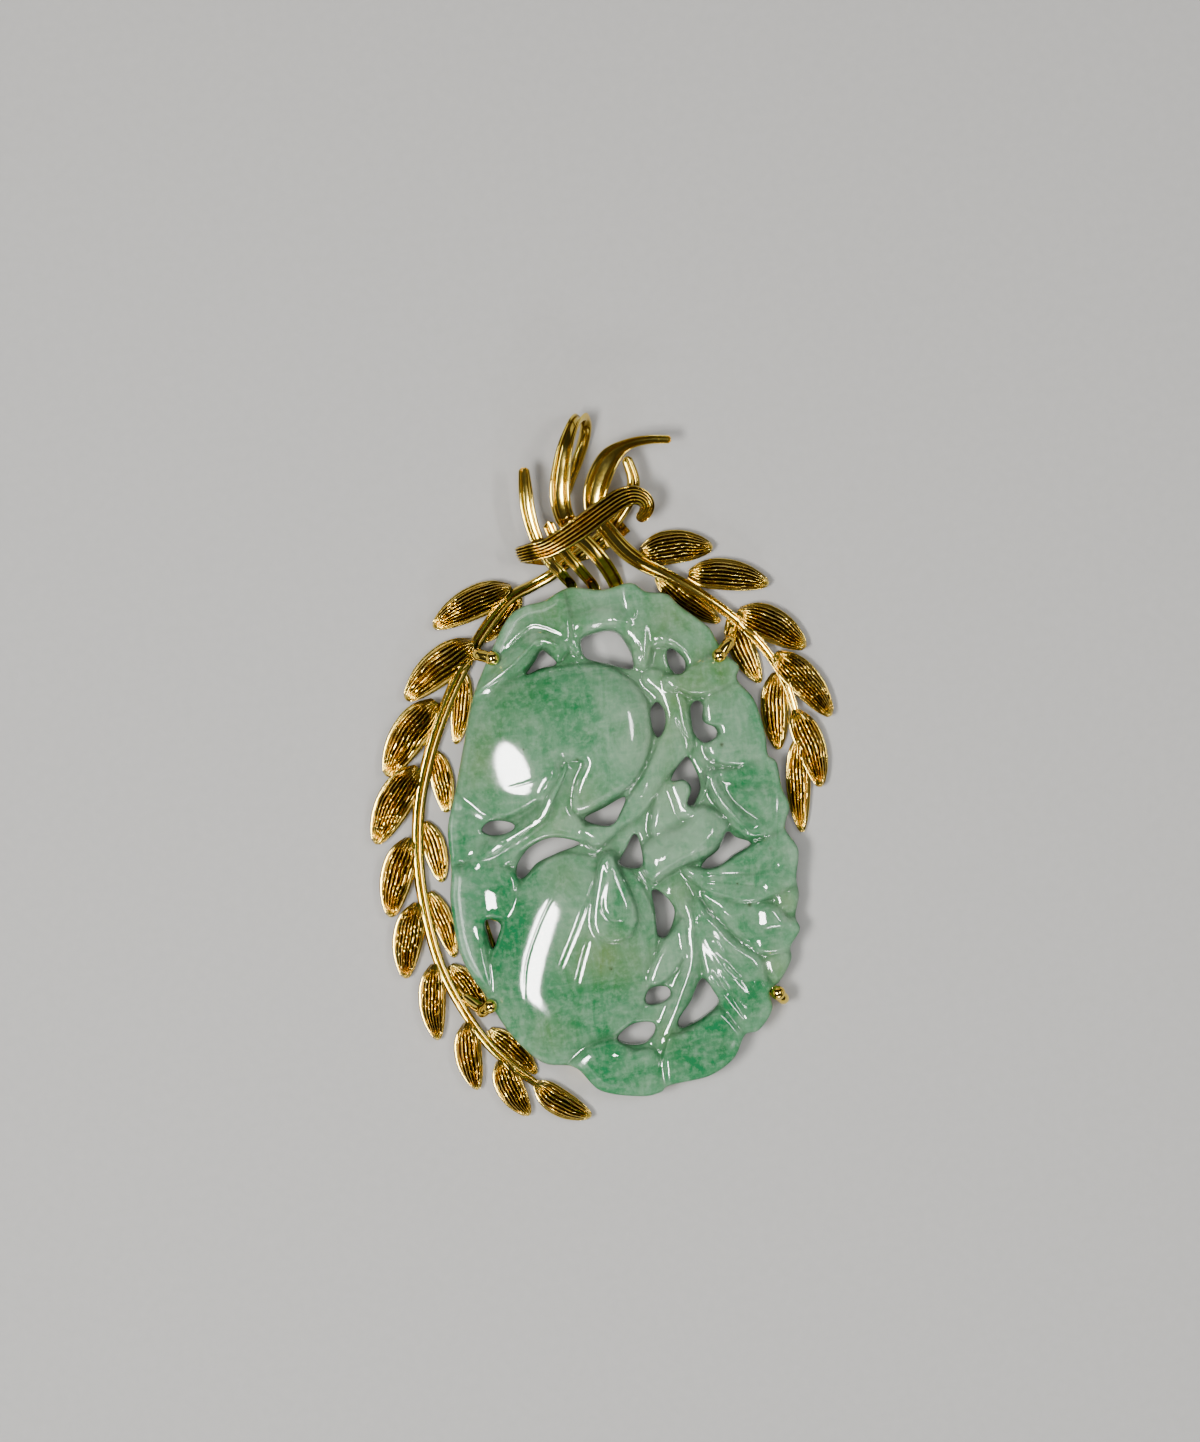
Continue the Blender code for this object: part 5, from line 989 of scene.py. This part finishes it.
class Shape:
    """A closed skin: plan positions with heights, faces by index, and each vertex's painted shade, most in
    hollows and grooves.
    """

    def __init__(self, vertices, faces, painted_shade):
        self.vertices = np.asarray(vertices, dtype=float)
        self.faces = faces
        self.painted_shade = np.asarray(painted_shade, dtype=float)


def ring_faces(count, sides, closed):
    """Faces between one closed ring of points and the next, and from the last to the first where closed."""
    faces = []
    for ring in range(count if closed else count - 1):
        step = sides if ring < count - 1 else (1 - count) * sides
        for side in range(sides):
            a = ring * sides + side
            b = ring * sides + (side + 1) % sides
            faces.append((a, b, b + step, a + step))
    return faces


def skin(rings, painted_shade):
    """A shape from rings of points, each ring closed, with flat ends."""
    count, sides = rings.shape[:2]
    ends = [tuple(range(sides)), tuple(range((count - 1) * sides, count * sides))]
    return Shape(rings.reshape(-1, 3), ends + ring_faces(count, sides, False), painted_shade.ravel())


def rounded_tip(count, tip):
    """Scale of each section of a swept piece whose end is rounded off over the last tip length."""
    left = (count - 1 - np.arange(count)) * SWEEP_STEP
    return np.maximum(quarter_round(left / tip), TIP_SCALE)


def sweep(path, section, up_hint, scales):
    """A section carried along a path. Section points are (across, up, painted shade)."""
    path = np.array(path, dtype=float)
    section = np.array(section, dtype=float)
    tangents = unit(np.gradient(path, axis=0))
    rings = np.empty((len(path), len(section), 3))
    for index, tangent in enumerate(tangents):
        hint = np.array(up_hint(index / (len(path) - 1), path[index]), dtype=float)
        up = hint - (hint @ tangent) * tangent
        up /= np.linalg.norm(up)
        across = np.cross(tangent, up)
        rings[index] = path[index] + (scales[index] * section[:, :1] * across
                                      + math.sqrt(scales[index]) * section[:, 1:2] * up)
    return skin(rings, np.tile(section[:, 2], (len(path), 1)))


def upright(share, point):
    """Up direction of a stem that lies flat."""
    return (0.0, 0.0, 1.0)


def away_from_bail(share, point):
    """Up direction of the bail's strip: out of the loop that it makes."""
    middle_v, middle_height = BAIL_MIDDLE
    if point[1] < BAIL_TURN_START and share < 0.5:
        return (0.0, 0.0, 1.0)
    return (0.0, BAIL_LEAN * max(point[1] - middle_v, 0.0), point[2] - middle_height)


def out_of_tie(share, point):
    """Up direction of the tie's strip: away from the stems inside it, and nearly upright in its curl."""
    if share > 0.5 and point[0] > TIE_CURL_START:
        return TIE_CURL_UP
    outward = point[0] - TIE_MIDDLE[0]
    return (outward, TIE_LEAN[0] * outward, TIE_LEAN[1] * (point[2] - TIE_MIDDLE[1]))


def rounded_section(corners):
    """A closed smooth section through corner points (across, up, painted shade)."""
    return curve_through(corners, True, SECTION_STEPS)


def channel_section(width, height, depth, rail):
    """A strip with a rounded rail along each side of its upper face and a hollow between them."""
    half = width / 2.0
    top = height / 2.0
    floor = top - depth
    # The third numbers are painted shade: in the hollow and on its walls, and under the strip
    return rounded_section((
        (half, 0.1 * top, 0.1), (half - 0.12 * rail, 0.86 * top, 0.0), (half - 0.5 * rail, top, 0.0),
        (half - 0.9 * rail, 0.8 * top, 0.1), (half - 1.25 * rail, 0.5 * (top + floor), 0.6),
        (0.35 * half, floor + 0.04, 0.25), (-0.35 * half, floor, 0.25),
        (1.25 * rail - half, 0.5 * (top + floor), 0.7), (0.9 * rail - half, 0.8 * top, 0.1),
        (0.5 * rail - half, top, 0.0), (0.12 * rail - half, 0.86 * top, 0.0), (-half, 0.1 * top, 0.1),
        (-0.8 * half, -0.7 * top, 0.3), (-0.3 * half, -top, 0.3), (0.3 * half, -top, 0.3),
        (0.8 * half, -0.7 * top, 0.3)))


def branch_section(width, height):
    """The long spray's stem: a bright round rail on its outer side, a groove and a lower inner face."""
    half = width / 2.0
    top = height / 2.0
    # The third numbers are painted shade: deepest in the groove, and under the stem
    return rounded_section((
        (-half, 0.0, 0.2), (-0.92 * half, 0.55 * top, 0.05), (-0.62 * half, 0.97 * top, 0.0),
        (-0.26 * half, 0.95 * top, 0.0), (0.0, 0.62 * top, 0.2), (0.1 * half, 0.22 * top, 0.95),
        (0.3 * half, 0.34 * top, 0.6), (0.66 * half, 0.3 * top, 0.45), (0.94 * half, 0.02 * top, 0.5),
        (0.9 * half, -0.5 * top, 0.5), (0.4 * half, -0.95 * top, 0.4), (-0.4 * half, -0.95 * top, 0.4),
        (-0.9 * half, -0.5 * top, 0.4)))


def rib_section(width, thickness, ribs, depth):
    """A crowned strip with rounded ribs along its upper face."""
    half = width / 2.0
    top = thickness / 2.0
    # The third number of each point is its painted shade: some under the strip, most in the grooves
    points = [(-half, -0.6 * top, 0.2), (-0.9 * half, -top, 0.1), (0.9 * half, -top, 0.1),
              (half, -0.6 * top, 0.2)]
    shares = np.linspace(-1.0, 1.0, ribs * TIE_RIB_SAMPLES + 1)
    crests = np.abs(np.sin(0.5 * math.pi * (shares + 1.0) * ribs)) ** TIE_RIB_POWER
    for share, crest in zip(shares[::-1], crests[::-1]):
        up = top - depth * (1.0 - crest) - TIE_CROWN * share ** 2
        points.append((half * share, up, TIE_GROOVE_SHADE * (1.0 - crest) ** TIE_GROOVE_SHADE_POWER))
    return points


def round_section(radius, sides):
    """A circle."""
    angles = math.tau * np.arange(sides) / sides
    return np.column_stack([radius * np.cos(angles), radius * np.sin(angles), np.full(sides, WIRE_RECESS)])


def ball(centre, radius, turns=BALL_TURNS):
    """A polished ball."""
    angles = np.linspace(BALL_POLE, math.pi - BALL_POLE, turns // 2 + 1)
    around = math.tau * np.arange(turns) / turns
    rings = np.empty((len(angles), turns, 3))
    rings[:, :, 0] = centre[0] + radius * np.sin(angles)[:, None] * np.cos(around)
    rings[:, :, 1] = centre[1] + radius * np.sin(angles)[:, None] * np.sin(around)
    rings[:, :, 2] = centre[2] + radius * np.cos(angles)[:, None]
    return skin(rings, np.zeros(rings.shape[:2]))


def leaf_shapes(leaf, size, ridges, bend, seed):
    """A domed leaf with lengthwise ridges, a flat lip round it and a bead at its tip."""
    height, foot_height, tip_height = size
    chance = np.random.default_rng(seed)
    foot = np.array((*leaf.foot, foot_height))
    tip = np.array((*leaf.tip, tip_height))
    run = (tip - foot)[:2] / np.linalg.norm((tip - foot)[:2])
    side = np.array((run[1], -run[0], 0.0))

    def middle_at(share):
        return foot + share * (tip - foot) + bend * math.sin(math.pi * share) * side

    profile = curve_through(LEAF_PROFILE, False)
    shares = 0.5 - 0.5 * np.cos(math.pi * np.linspace(0.0, 1.0, LEAF_STATIONS) ** STATION_POWER)
    fullness = np.interp(shares, profile[:, 0], profile[:, 1])
    across = np.linspace(-1.0, 1.0, ridges * RIDGE_SAMPLES + LIP_SAMPLES)
    lip = np.clip((np.abs(across) - LIP_START) / (1.0 - LIP_START), 0.0, 1.0)
    in_dome = lip == 0.0
    dome_share = np.clip(np.abs(across) / LIP_START, 0.0, 1.0)
    dome = (1.0 - dome_share ** DOME_POWERS[0]) ** DOME_POWERS[1]
    phases = chance.uniform(0.0, math.tau, 3)
    knots = np.linspace(0.0, 1.0, TALLNESS_KNOTS)
    tallness = np.column_stack([np.interp(shares, knots, chance.uniform(*TALLNESS_RANGE, TALLNESS_KNOTS))
                                for _ in range(ridges + 1)])
    ridge_depth = RIDGE_DEPTH * min(1.0, RIDGE_DEPTH_BY_HEIGHT[0] + RIDGE_DEPTH_BY_HEIGHT[1] * height)
    back_across, back_drop = np.transpose(LEAF_BACK)
    rings = np.empty((LEAF_STATIONS, len(across) + len(LEAF_BACK), 3))
    painted_shade = np.full(rings.shape[:2], LEAF_BACK_SHADE)
    for index, (share, full) in enumerate(zip(shares, fullness)):
        middle = middle_at(share)
        wobble = sum(sway * math.sin(turns * share + phase) for (sway, turns), phase in zip(WOBBLES, phases))
        position = 0.5 * (across / LIP_START + 1.0) * ridges + wobble * ridges * 0.5
        crest = np.abs(np.sin(math.pi * position)) ** RIDGE_POWER
        crest *= tallness[index, np.clip(position.astype(int), 0, ridges)]
        fade = min(1.0, RIDGE_GROWTH[0] * share, RIDGE_GROWTH[1] * (1.0 - share)) * math.sqrt(full)
        depth = ridge_depth * fade * (1.0 - np.minimum(crest, RIDGE_LIMIT))
        rise = height * math.sqrt(full) * dome - np.where(in_dome, depth, 0.0)
        ledge = LIP_HEIGHT * min(1.0, LIP_GROWTH[0] * share) * np.sqrt(np.clip(1.0 - lip ** 4, 0.0, 1.0))
        half = 0.5 * leaf.width * full
        top = middle + half * across[:, None] * side
        top[:, 2] += np.maximum(rise, ledge * min(1.0, LIP_GROWTH[1] * full))
        # Painted shade in the grooves between the ridges, on the lip and in the seam
        groove = fade * np.clip(RIDGE_LIMIT - crest, 0.0, 1.0) ** GROOVE_POWER
        groove = np.where(in_dome, groove, LIP_SHADE)
        in_seam = (dome_share > SEAM_START) & in_dome
        groove = np.where(in_seam, SEAM_SHADE * min(1.0, SEAM_GROWTH * share), groove)
        # Painted shade at the foot
        foot_shade = FOOT_SHADE * max(0.0, 1.0 - share / FOOT_SHARE)
        under = middle + half * back_across[:, None] * side
        under[:, 2] -= LEAF_BACK_DEPTH * math.sqrt(full) * back_drop * height / FULL_LEAF_HEIGHT
        rings[index] = np.vstack([top, under])
        painted_shade[index, :len(across)] = np.clip(groove + foot_shade, 0.0, 1.0)
    bead = middle_at(TIP_BEAD_PLACE)
    bead[2] += TIP_BEAD_RISE * height
    bead_radius = TIP_BEAD_RADIUS * leaf.width / TIP_BEAD_WIDTH
    return [skin(rings, painted_shade), ball(bead, bead_radius, TIP_BEAD_TURNS)]


def resting_height(u, v, radius, field, loops):
    """Height of the middle of a ball over the stone's edge that stays a small gap above its surface."""
    reach = radius + CLAW_GAP
    offsets = np.linspace(-reach, reach, CLAW_SAMPLES)
    points = np.array([(u + du, v + dv) for du in offsets for dv in offsets])
    depth = depth_in_stone(points, loops)
    away = np.hypot(points[:, 0] - u, points[:, 1] - v)
    over = (depth > 0.0) & (away < reach)
    surface = surface_height(points[over], depth[over], field)
    return float(np.max(surface + np.sqrt(reach ** 2 - away[over] ** 2)))


def claw_shapes(claw, field, loops):
    """A bent round wire and its polished ball."""
    ball_height = resting_height(*claw.ball, CLAW_BALL_RADIUS, field, loops)
    centre = (*claw.ball, ball_height)
    route = list(claw.foot)
    route += [(*claw.knee, CLAW_KNEE_HEIGHT), (*claw.knee, ball_height - CLAW_BEND_DROP), centre]
    path = resample(curve_through(route, False), SWEEP_STEP, False)

    def side_hint(share, point):
        run = np.array(claw.ball) - np.array(claw.knee)
        return (-run[1], run[0], 0.0)

    wire = sweep(path, round_section(CLAW_RADIUS, CLAW_SIDES), side_hint, np.ones(len(path)))
    return [wire, ball(centre, CLAW_BALL_RADIUS)]


def gold_piece(name, shapes, material):
    """One object from gold shapes, with their painted shade as an attribute."""
    vertices = []
    faces = []
    start = 0
    for shape in shapes:
        vertices += [place(*vertex) for vertex in shape.vertices]
        faces += [tuple(index + start for index in face) for face in shape.faces]
        start += len(shape.vertices)
    made = mesh_object(name, vertices, faces, material)
    set_attribute(made, "painted_shade", np.concatenate([shape.painted_shade for shape in shapes]))
    return made


def frame_shape():
    """The oval flat wire behind the stone."""
    half_wire = FRAME_WIRE_WIDTH / 2.0
    middle_width = FRAME_HALF_WIDTH - half_wire
    middle_height = FRAME_HALF_HEIGHT - half_wire
    top = FRAME_WIRE_HEIGHT
    inner_half = ((1.0, FRAME_EDGE), (1.0, top - FRAME_EDGE), (1.0 - FRAME_EDGE, top - FRAME_CROWN),
                  (FRAME_FLAT_SHARE, top))
    section = inner_half + tuple((-across, height) for across, height in inner_half[::-1])
    section += ((FRAME_EDGE - 1.0, 0.0), (1.0 - FRAME_EDGE, 0.0))
    vertices = []
    for index in range(FRAME_SEGMENTS):
        angle = math.tau * index / FRAME_SEGMENTS
        for across, height in section:
            vertices.append(((middle_width + across * half_wire) * math.cos(angle),
                             (middle_height + across * half_wire) * math.sin(angle), height))
    faces = ring_faces(FRAME_SEGMENTS, len(section), True)
    return Shape(vertices, faces, np.full(len(vertices), FRAME_SHADE))


def strand(route, width, section, up_hint, tip=TIP_LENGTH):
    """One stem along its route, whose section has the width given and is scaled to the route's own width."""
    path = resample(curve_through(route, False), SWEEP_STEP, False)
    return sweep(path[:, :3], section, up_hint, path[:, 3] / width * rounded_tip(len(path), tip))


def leaves(rows):
    """Shapes of rows of leaves."""
    shapes = []
    for row, size, ridges, bend, seed in rows:
        for index, leaf in enumerate(row):
            shapes += leaf_shapes(leaf, size, ridges[index % len(ridges)], bend, seed + index)
    return shapes


def make_gold(field, loops, material):
    """Every gold piece by the node that it stands for."""
    branch = branch_section(BRANCH_WIDTH, BRANCH_HEIGHT)
    right_channel = channel_section(STRAND_WIDTH, RIGHT_STEM_HEIGHT, CHANNEL_DEPTH, RIGHT_STEM_RAIL)
    wide = channel_section(STRAND_WIDTH, STRAND_HEIGHT, CHANNEL_DEPTH, STRAND_RAIL)
    slim = channel_section(SLIM_WIDTH, SLIM_HEIGHT, SLIM_CHANNEL_DEPTH, SLIM_RAIL)
    ribbed = rib_section(TIE_WIDTH, TIE_THICKNESS, TIE_RIBS, TIE_RIB_DEPTH)
    left = [strand(LEFT_STEM, BRANCH_WIDTH, branch, upright)] + leaves(LEFT_LEAVES)
    left += claw_shapes(UPPER_LEFT_CLAW, field, loops) + claw_shapes(LOWER_LEFT_CLAW, field, loops)
    right = [strand(RIGHT_STEM, STRAND_WIDTH, right_channel, upright)] + leaves(RIGHT_LEAVES)
    right += claw_shapes(UPPER_RIGHT_CLAW, field, loops)
    middle = strand(MIDDLE_STEM, SLIM_WIDTH, slim, upright, SHORT_TIP_LENGTH)
    pieces = {
        "left_branch": ("left_spray", left),
        "right_branch": ("right_spray", right),
        "back_frame": ("oval_frame", [frame_shape()] + claw_shapes(LOWER_RIGHT_CLAW, field, loops)),
        "tie_band": ("ribbed_tie", [strand(TIE_ROUTE, TIE_WIDTH, ribbed, out_of_tie)]),
        "bail_stem": ("bail", [strand(BAIL_STEM, STRAND_WIDTH, wide, away_from_bail)]),
        "middle_stem": ("middle_strand", [middle]),
        "slim_stem": ("slim_strand", [strand(SLIM_STEM, SLIM_WIDTH, slim, upright)]),
    }
    return {node: gold_piece(name, shapes, material) for node, (name, shapes) in pieces.items()}


def set_inputs(node, values):
    """Constant values on a node's named inputs."""
    for name, value in values.items():
        node.inputs[name].default_value = value


class Nodes:
    """Builds one material's node tree."""

    def __init__(self, name):
        self.material = bpy.data.materials.new(name)
        self.material.use_nodes = True
        self.tree = self.material.node_tree
        self.shader = self.tree.nodes["Principled BSDF"]
        self.coordinates = self.tree.nodes.new("ShaderNodeTexCoord").outputs["Object"]

    def link(self, output, target):
        """Join an output to an input."""
        self.tree.links.new(output, target)

    def add(self, kind, values):
        """A new node with constant values on some of its inputs."""
        node = self.tree.nodes.new(kind)
        set_inputs(node, values)
        return node

    def noise(self, scale, detail, roughness=0.5, distortion=0.0, stretch=None):
        """Noise between 0 and 1 over the object's own coordinates."""
        node = self.add("ShaderNodeTexNoise", {"Scale": scale, "Detail": detail, "Roughness": roughness,
                                               "Distortion": distortion})
        source = self.coordinates
        if stretch:
            mapping = self.add("ShaderNodeMapping", {"Scale": stretch[0], "Rotation": stretch[1]})
            self.link(source, mapping.inputs["Vector"])
            source = mapping.outputs["Vector"]
        self.link(source, node.inputs["Vector"])
        return node.outputs["Fac"]

    def attribute(self, name):
        """A number stored on the mesh."""
        node = self.tree.nodes.new("ShaderNodeAttribute")
        node.attribute_name = name
        return node.outputs["Fac"]

    def ramp(self, value, start, end, low=0.0, high=1.0):
        """A value mapped from one range to another, kept inside it."""
        node = self.add("ShaderNodeMapRange", {"From Min": start, "From Max": end,
                                               "To Min": low, "To Max": high})
        self.link(value, node.inputs["Value"])
        return node.outputs["Result"]

    def math(self, operation, first, second):
        """A sum, a product or the like of two values, the second of which may be a number."""
        node = self.tree.nodes.new("ShaderNodeMath")
        node.operation = operation
        self.link(first, node.inputs[0])
        if isinstance(second, float):
            node.inputs[1].default_value = second
        else:
            self.link(second, node.inputs[1])
        return node.outputs["Value"]

    def mix(self, share, first, second):
        """A blend of two colours, each a colour or an output."""
        node = self.tree.nodes.new("ShaderNodeMix")
        node.data_type = "RGBA"
        self.link(share, node.inputs["Factor"])
        for socket, colour in (("A", first), ("B", second)):
            target = [item for item in node.inputs if item.name == socket and item.type == "RGBA"][0]
            if isinstance(colour, tuple):
                target.default_value = colour
            else:
                self.link(colour, target)
        return [item for item in node.outputs if item.type == "RGBA"][0]

    def bump(self, height, strength):
        """A fine unevenness of the surface."""
        node = self.add("ShaderNodeBump", {"Strength": strength, "Distance": BUMP_DISTANCE})
        self.link(height, node.inputs["Height"])
        self.link(node.outputs["Normal"], self.shader.inputs["Normal"])


def jade_material():
    """Polished translucent jadeite, clouded green and pale, with painted shade in its valleys."""
    nodes = Nodes("polished_jadeite")
    clouds = nodes.noise(*CLOUD_NOISE)
    fibres = nodes.noise(*FIBRE_NOISE)
    streaks = nodes.noise(*STREAK_NOISE)
    grain = nodes.noise(*JADE_GRAIN_NOISE)
    green = nodes.attribute("cloud")
    for noise, change in ((clouds, GREEN_BY_CLOUDS), (fibres, GREEN_BY_FIBRES), (streaks, GREEN_BY_STREAKS)):
        green = nodes.math("ADD", green, nodes.ramp(noise, *change))
    colour = nodes.mix(nodes.ramp(green, *GREEN_RANGE), PALE_JADE, GREEN_JADE)
    warm = nodes.math("MULTIPLY", nodes.attribute("warm"), nodes.ramp(fibres, *WARM_BY_FIBRES))
    colour = nodes.mix(warm, colour, WARM_JADE)
    colour = nodes.mix(nodes.ramp(grain, *MILKY_BY_GRAIN), colour, MILKY_JADE)
    # Painted shade: the valleys are darkened towards a deep green
    valley = nodes.math("MULTIPLY", nodes.attribute("valley"), VALLEY_SHADE)
    colour = nodes.mix(valley, colour, PAINTED_SHADE_JADE)
    colour = nodes.mix(nodes.attribute("speck"), colour, SPECK_COLOUR)
    nodes.link(colour, nodes.shader.inputs["Base Color"])
    rim = nodes.ramp(nodes.attribute("rim"), *RIM_RANGE)
    rough = nodes.ramp(fibres, *JADE_ROUGHNESS)
    rough = nodes.math("ADD", rough, nodes.math("MULTIPLY", rim, RIM_ROUGHNESS))
    nodes.link(rough, nodes.shader.inputs["Roughness"])
    nodes.link(nodes.ramp(rim, *RIM_SHINE), nodes.shader.inputs["Specular IOR Level"])
    set_inputs(nodes.shader, JADE_SETTINGS)
    nodes.bump(nodes.noise(*JADE_BUMP_NOISE), JADE_BUMP)
    return nodes.material


def gold_material():
    """Yellow gold, polished on its crests, with painted shade in its hollows, under it and at its leaves'
    feet, and a fine dark grain.
    """
    nodes = Nodes("yellow_gold")
    grain = nodes.noise(*GOLD_GRAIN_NOISE)
    patches = nodes.noise(*PATCH_NOISE)
    painted_shade = nodes.attribute("painted_shade")
    # Painted shade, varied in patches, and a fine dark grain darken the gold
    dark = nodes.math("MULTIPLY", painted_shade, nodes.ramp(patches, *DARK_BY_PATCHES))
    dark = nodes.math("ADD", dark, nodes.ramp(grain, *DARK_BY_GRAIN))
    colour = nodes.mix(nodes.ramp(patches, *PALE_BY_PATCHES), GOLD, PALE_GOLD)
    nodes.link(nodes.mix(nodes.ramp(dark, 0.0, 1.0), colour, SHADE_AND_GRAIN_GOLD), nodes.shader.inputs["Base Color"])
    rough = nodes.ramp(painted_shade, *RECESS_ROUGHNESS)
    rough = nodes.math("ADD", rough, nodes.ramp(grain, *GRAIN_ROUGHNESS))
    nodes.link(rough, nodes.shader.inputs["Roughness"])
    set_inputs(nodes.shader, GOLD_SETTINGS)
    hammering = nodes.noise(*HAMMER_NOISE)
    hammering = nodes.math("ADD", hammering, nodes.math("MULTIPLY", grain, HAMMER_GRAIN_SHARE))
    nodes.bump(hammering, GOLD_BUMP)
    return nodes.material


def floor_material():
    """Plain pale matt paper."""
    nodes = Nodes("pale_paper")
    grain = nodes.noise(*FLOOR_NOISE)
    colour = nodes.mix(nodes.ramp(grain, *FLOOR_RANGE), FLOOR_DARK, FLOOR_LIGHT)
    nodes.link(colour, nodes.shader.inputs["Base Color"])
    set_inputs(nodes.shader, FLOOR_SETTINGS)
    nodes.bump(grain, FLOOR_BUMP)
    return nodes.material


def make_floor():
    """A wide plain floor under the pendant."""
    half = FLOOR_SIZE / 2.0
    mesh = bpy.data.meshes.new("floor")
    corners = [(-half, -half, 0.0), (half, -half, 0.0), (half, half, 0.0), (-half, half, 0.0)]
    mesh.from_pydata(corners, [], [(0, 1, 2, 3)])
    mesh.materials.append(floor_material())
    return add_object("floor", mesh)


def add_light(name, location, size, power, colour, lights, shines):
    """A soft oval light aimed at the pendant. It may light only matt colours or show only in the polish."""
    data = bpy.data.lights.new(name, "AREA")
    data.shape = "ELLIPSE"
    data.size, data.size_y = size
    data.energy = power
    data.color = colour
    light = add_object(name, data)
    light.location = location
    light.rotation_euler = (-Vector(location)).to_track_quat("-Z", "Y").to_euler()
    light.visible_camera = False
    light.visible_diffuse = lights
    light.visible_glossy = shines


def set_world():
    """Dim even surroundings."""
    world = bpy.data.worlds.new("surroundings")
    world.use_nodes = True
    background = world.node_tree.nodes["Background"]
    set_inputs(background, {"Color": WORLD_COLOUR, "Strength": WORLD_STRENGTH})
    bpy.context.scene.world = world


def set_camera():
    """The photograph's view: straight down on the pendant, turned a little."""
    data = bpy.data.cameras.new("camera")
    data.sensor_fit = "AUTO"
    data.sensor_width = SENSOR_SIZE
    data.lens = SENSOR_SIZE * CAMERA_DISTANCE / CAMERA_FIELD_HEIGHT
    data.clip_start = CAMERA_NEAR
    camera = add_object("camera", data)
    u, v, height = CAMERA_AIM
    camera.location = place(u, v, height + CAMERA_DISTANCE)
    camera.rotation_euler = (0.0, 0.0, math.radians(CAMERA_TURN_DEGREES))
    bpy.context.scene.camera = camera


def dress():
    """Make every piece, attach it to the root and hide the part of the node that it stands for."""
    field = carved_field()
    loops = loops_of_stone(EDGE_STEP)
    pieces = {"jade_plaque": make_jade(field, loops, jade_material())}
    pieces.update(make_gold(field, loops, gold_material()))
    for node, piece in pieces.items():
        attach(piece, "root")
        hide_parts(node)


def set_stage():
    """Floor, surroundings, lights and camera."""
    make_floor()
    set_world()
    for light in LIGHTS:
        add_light(*light)
    set_camera()


dress()
set_stage()
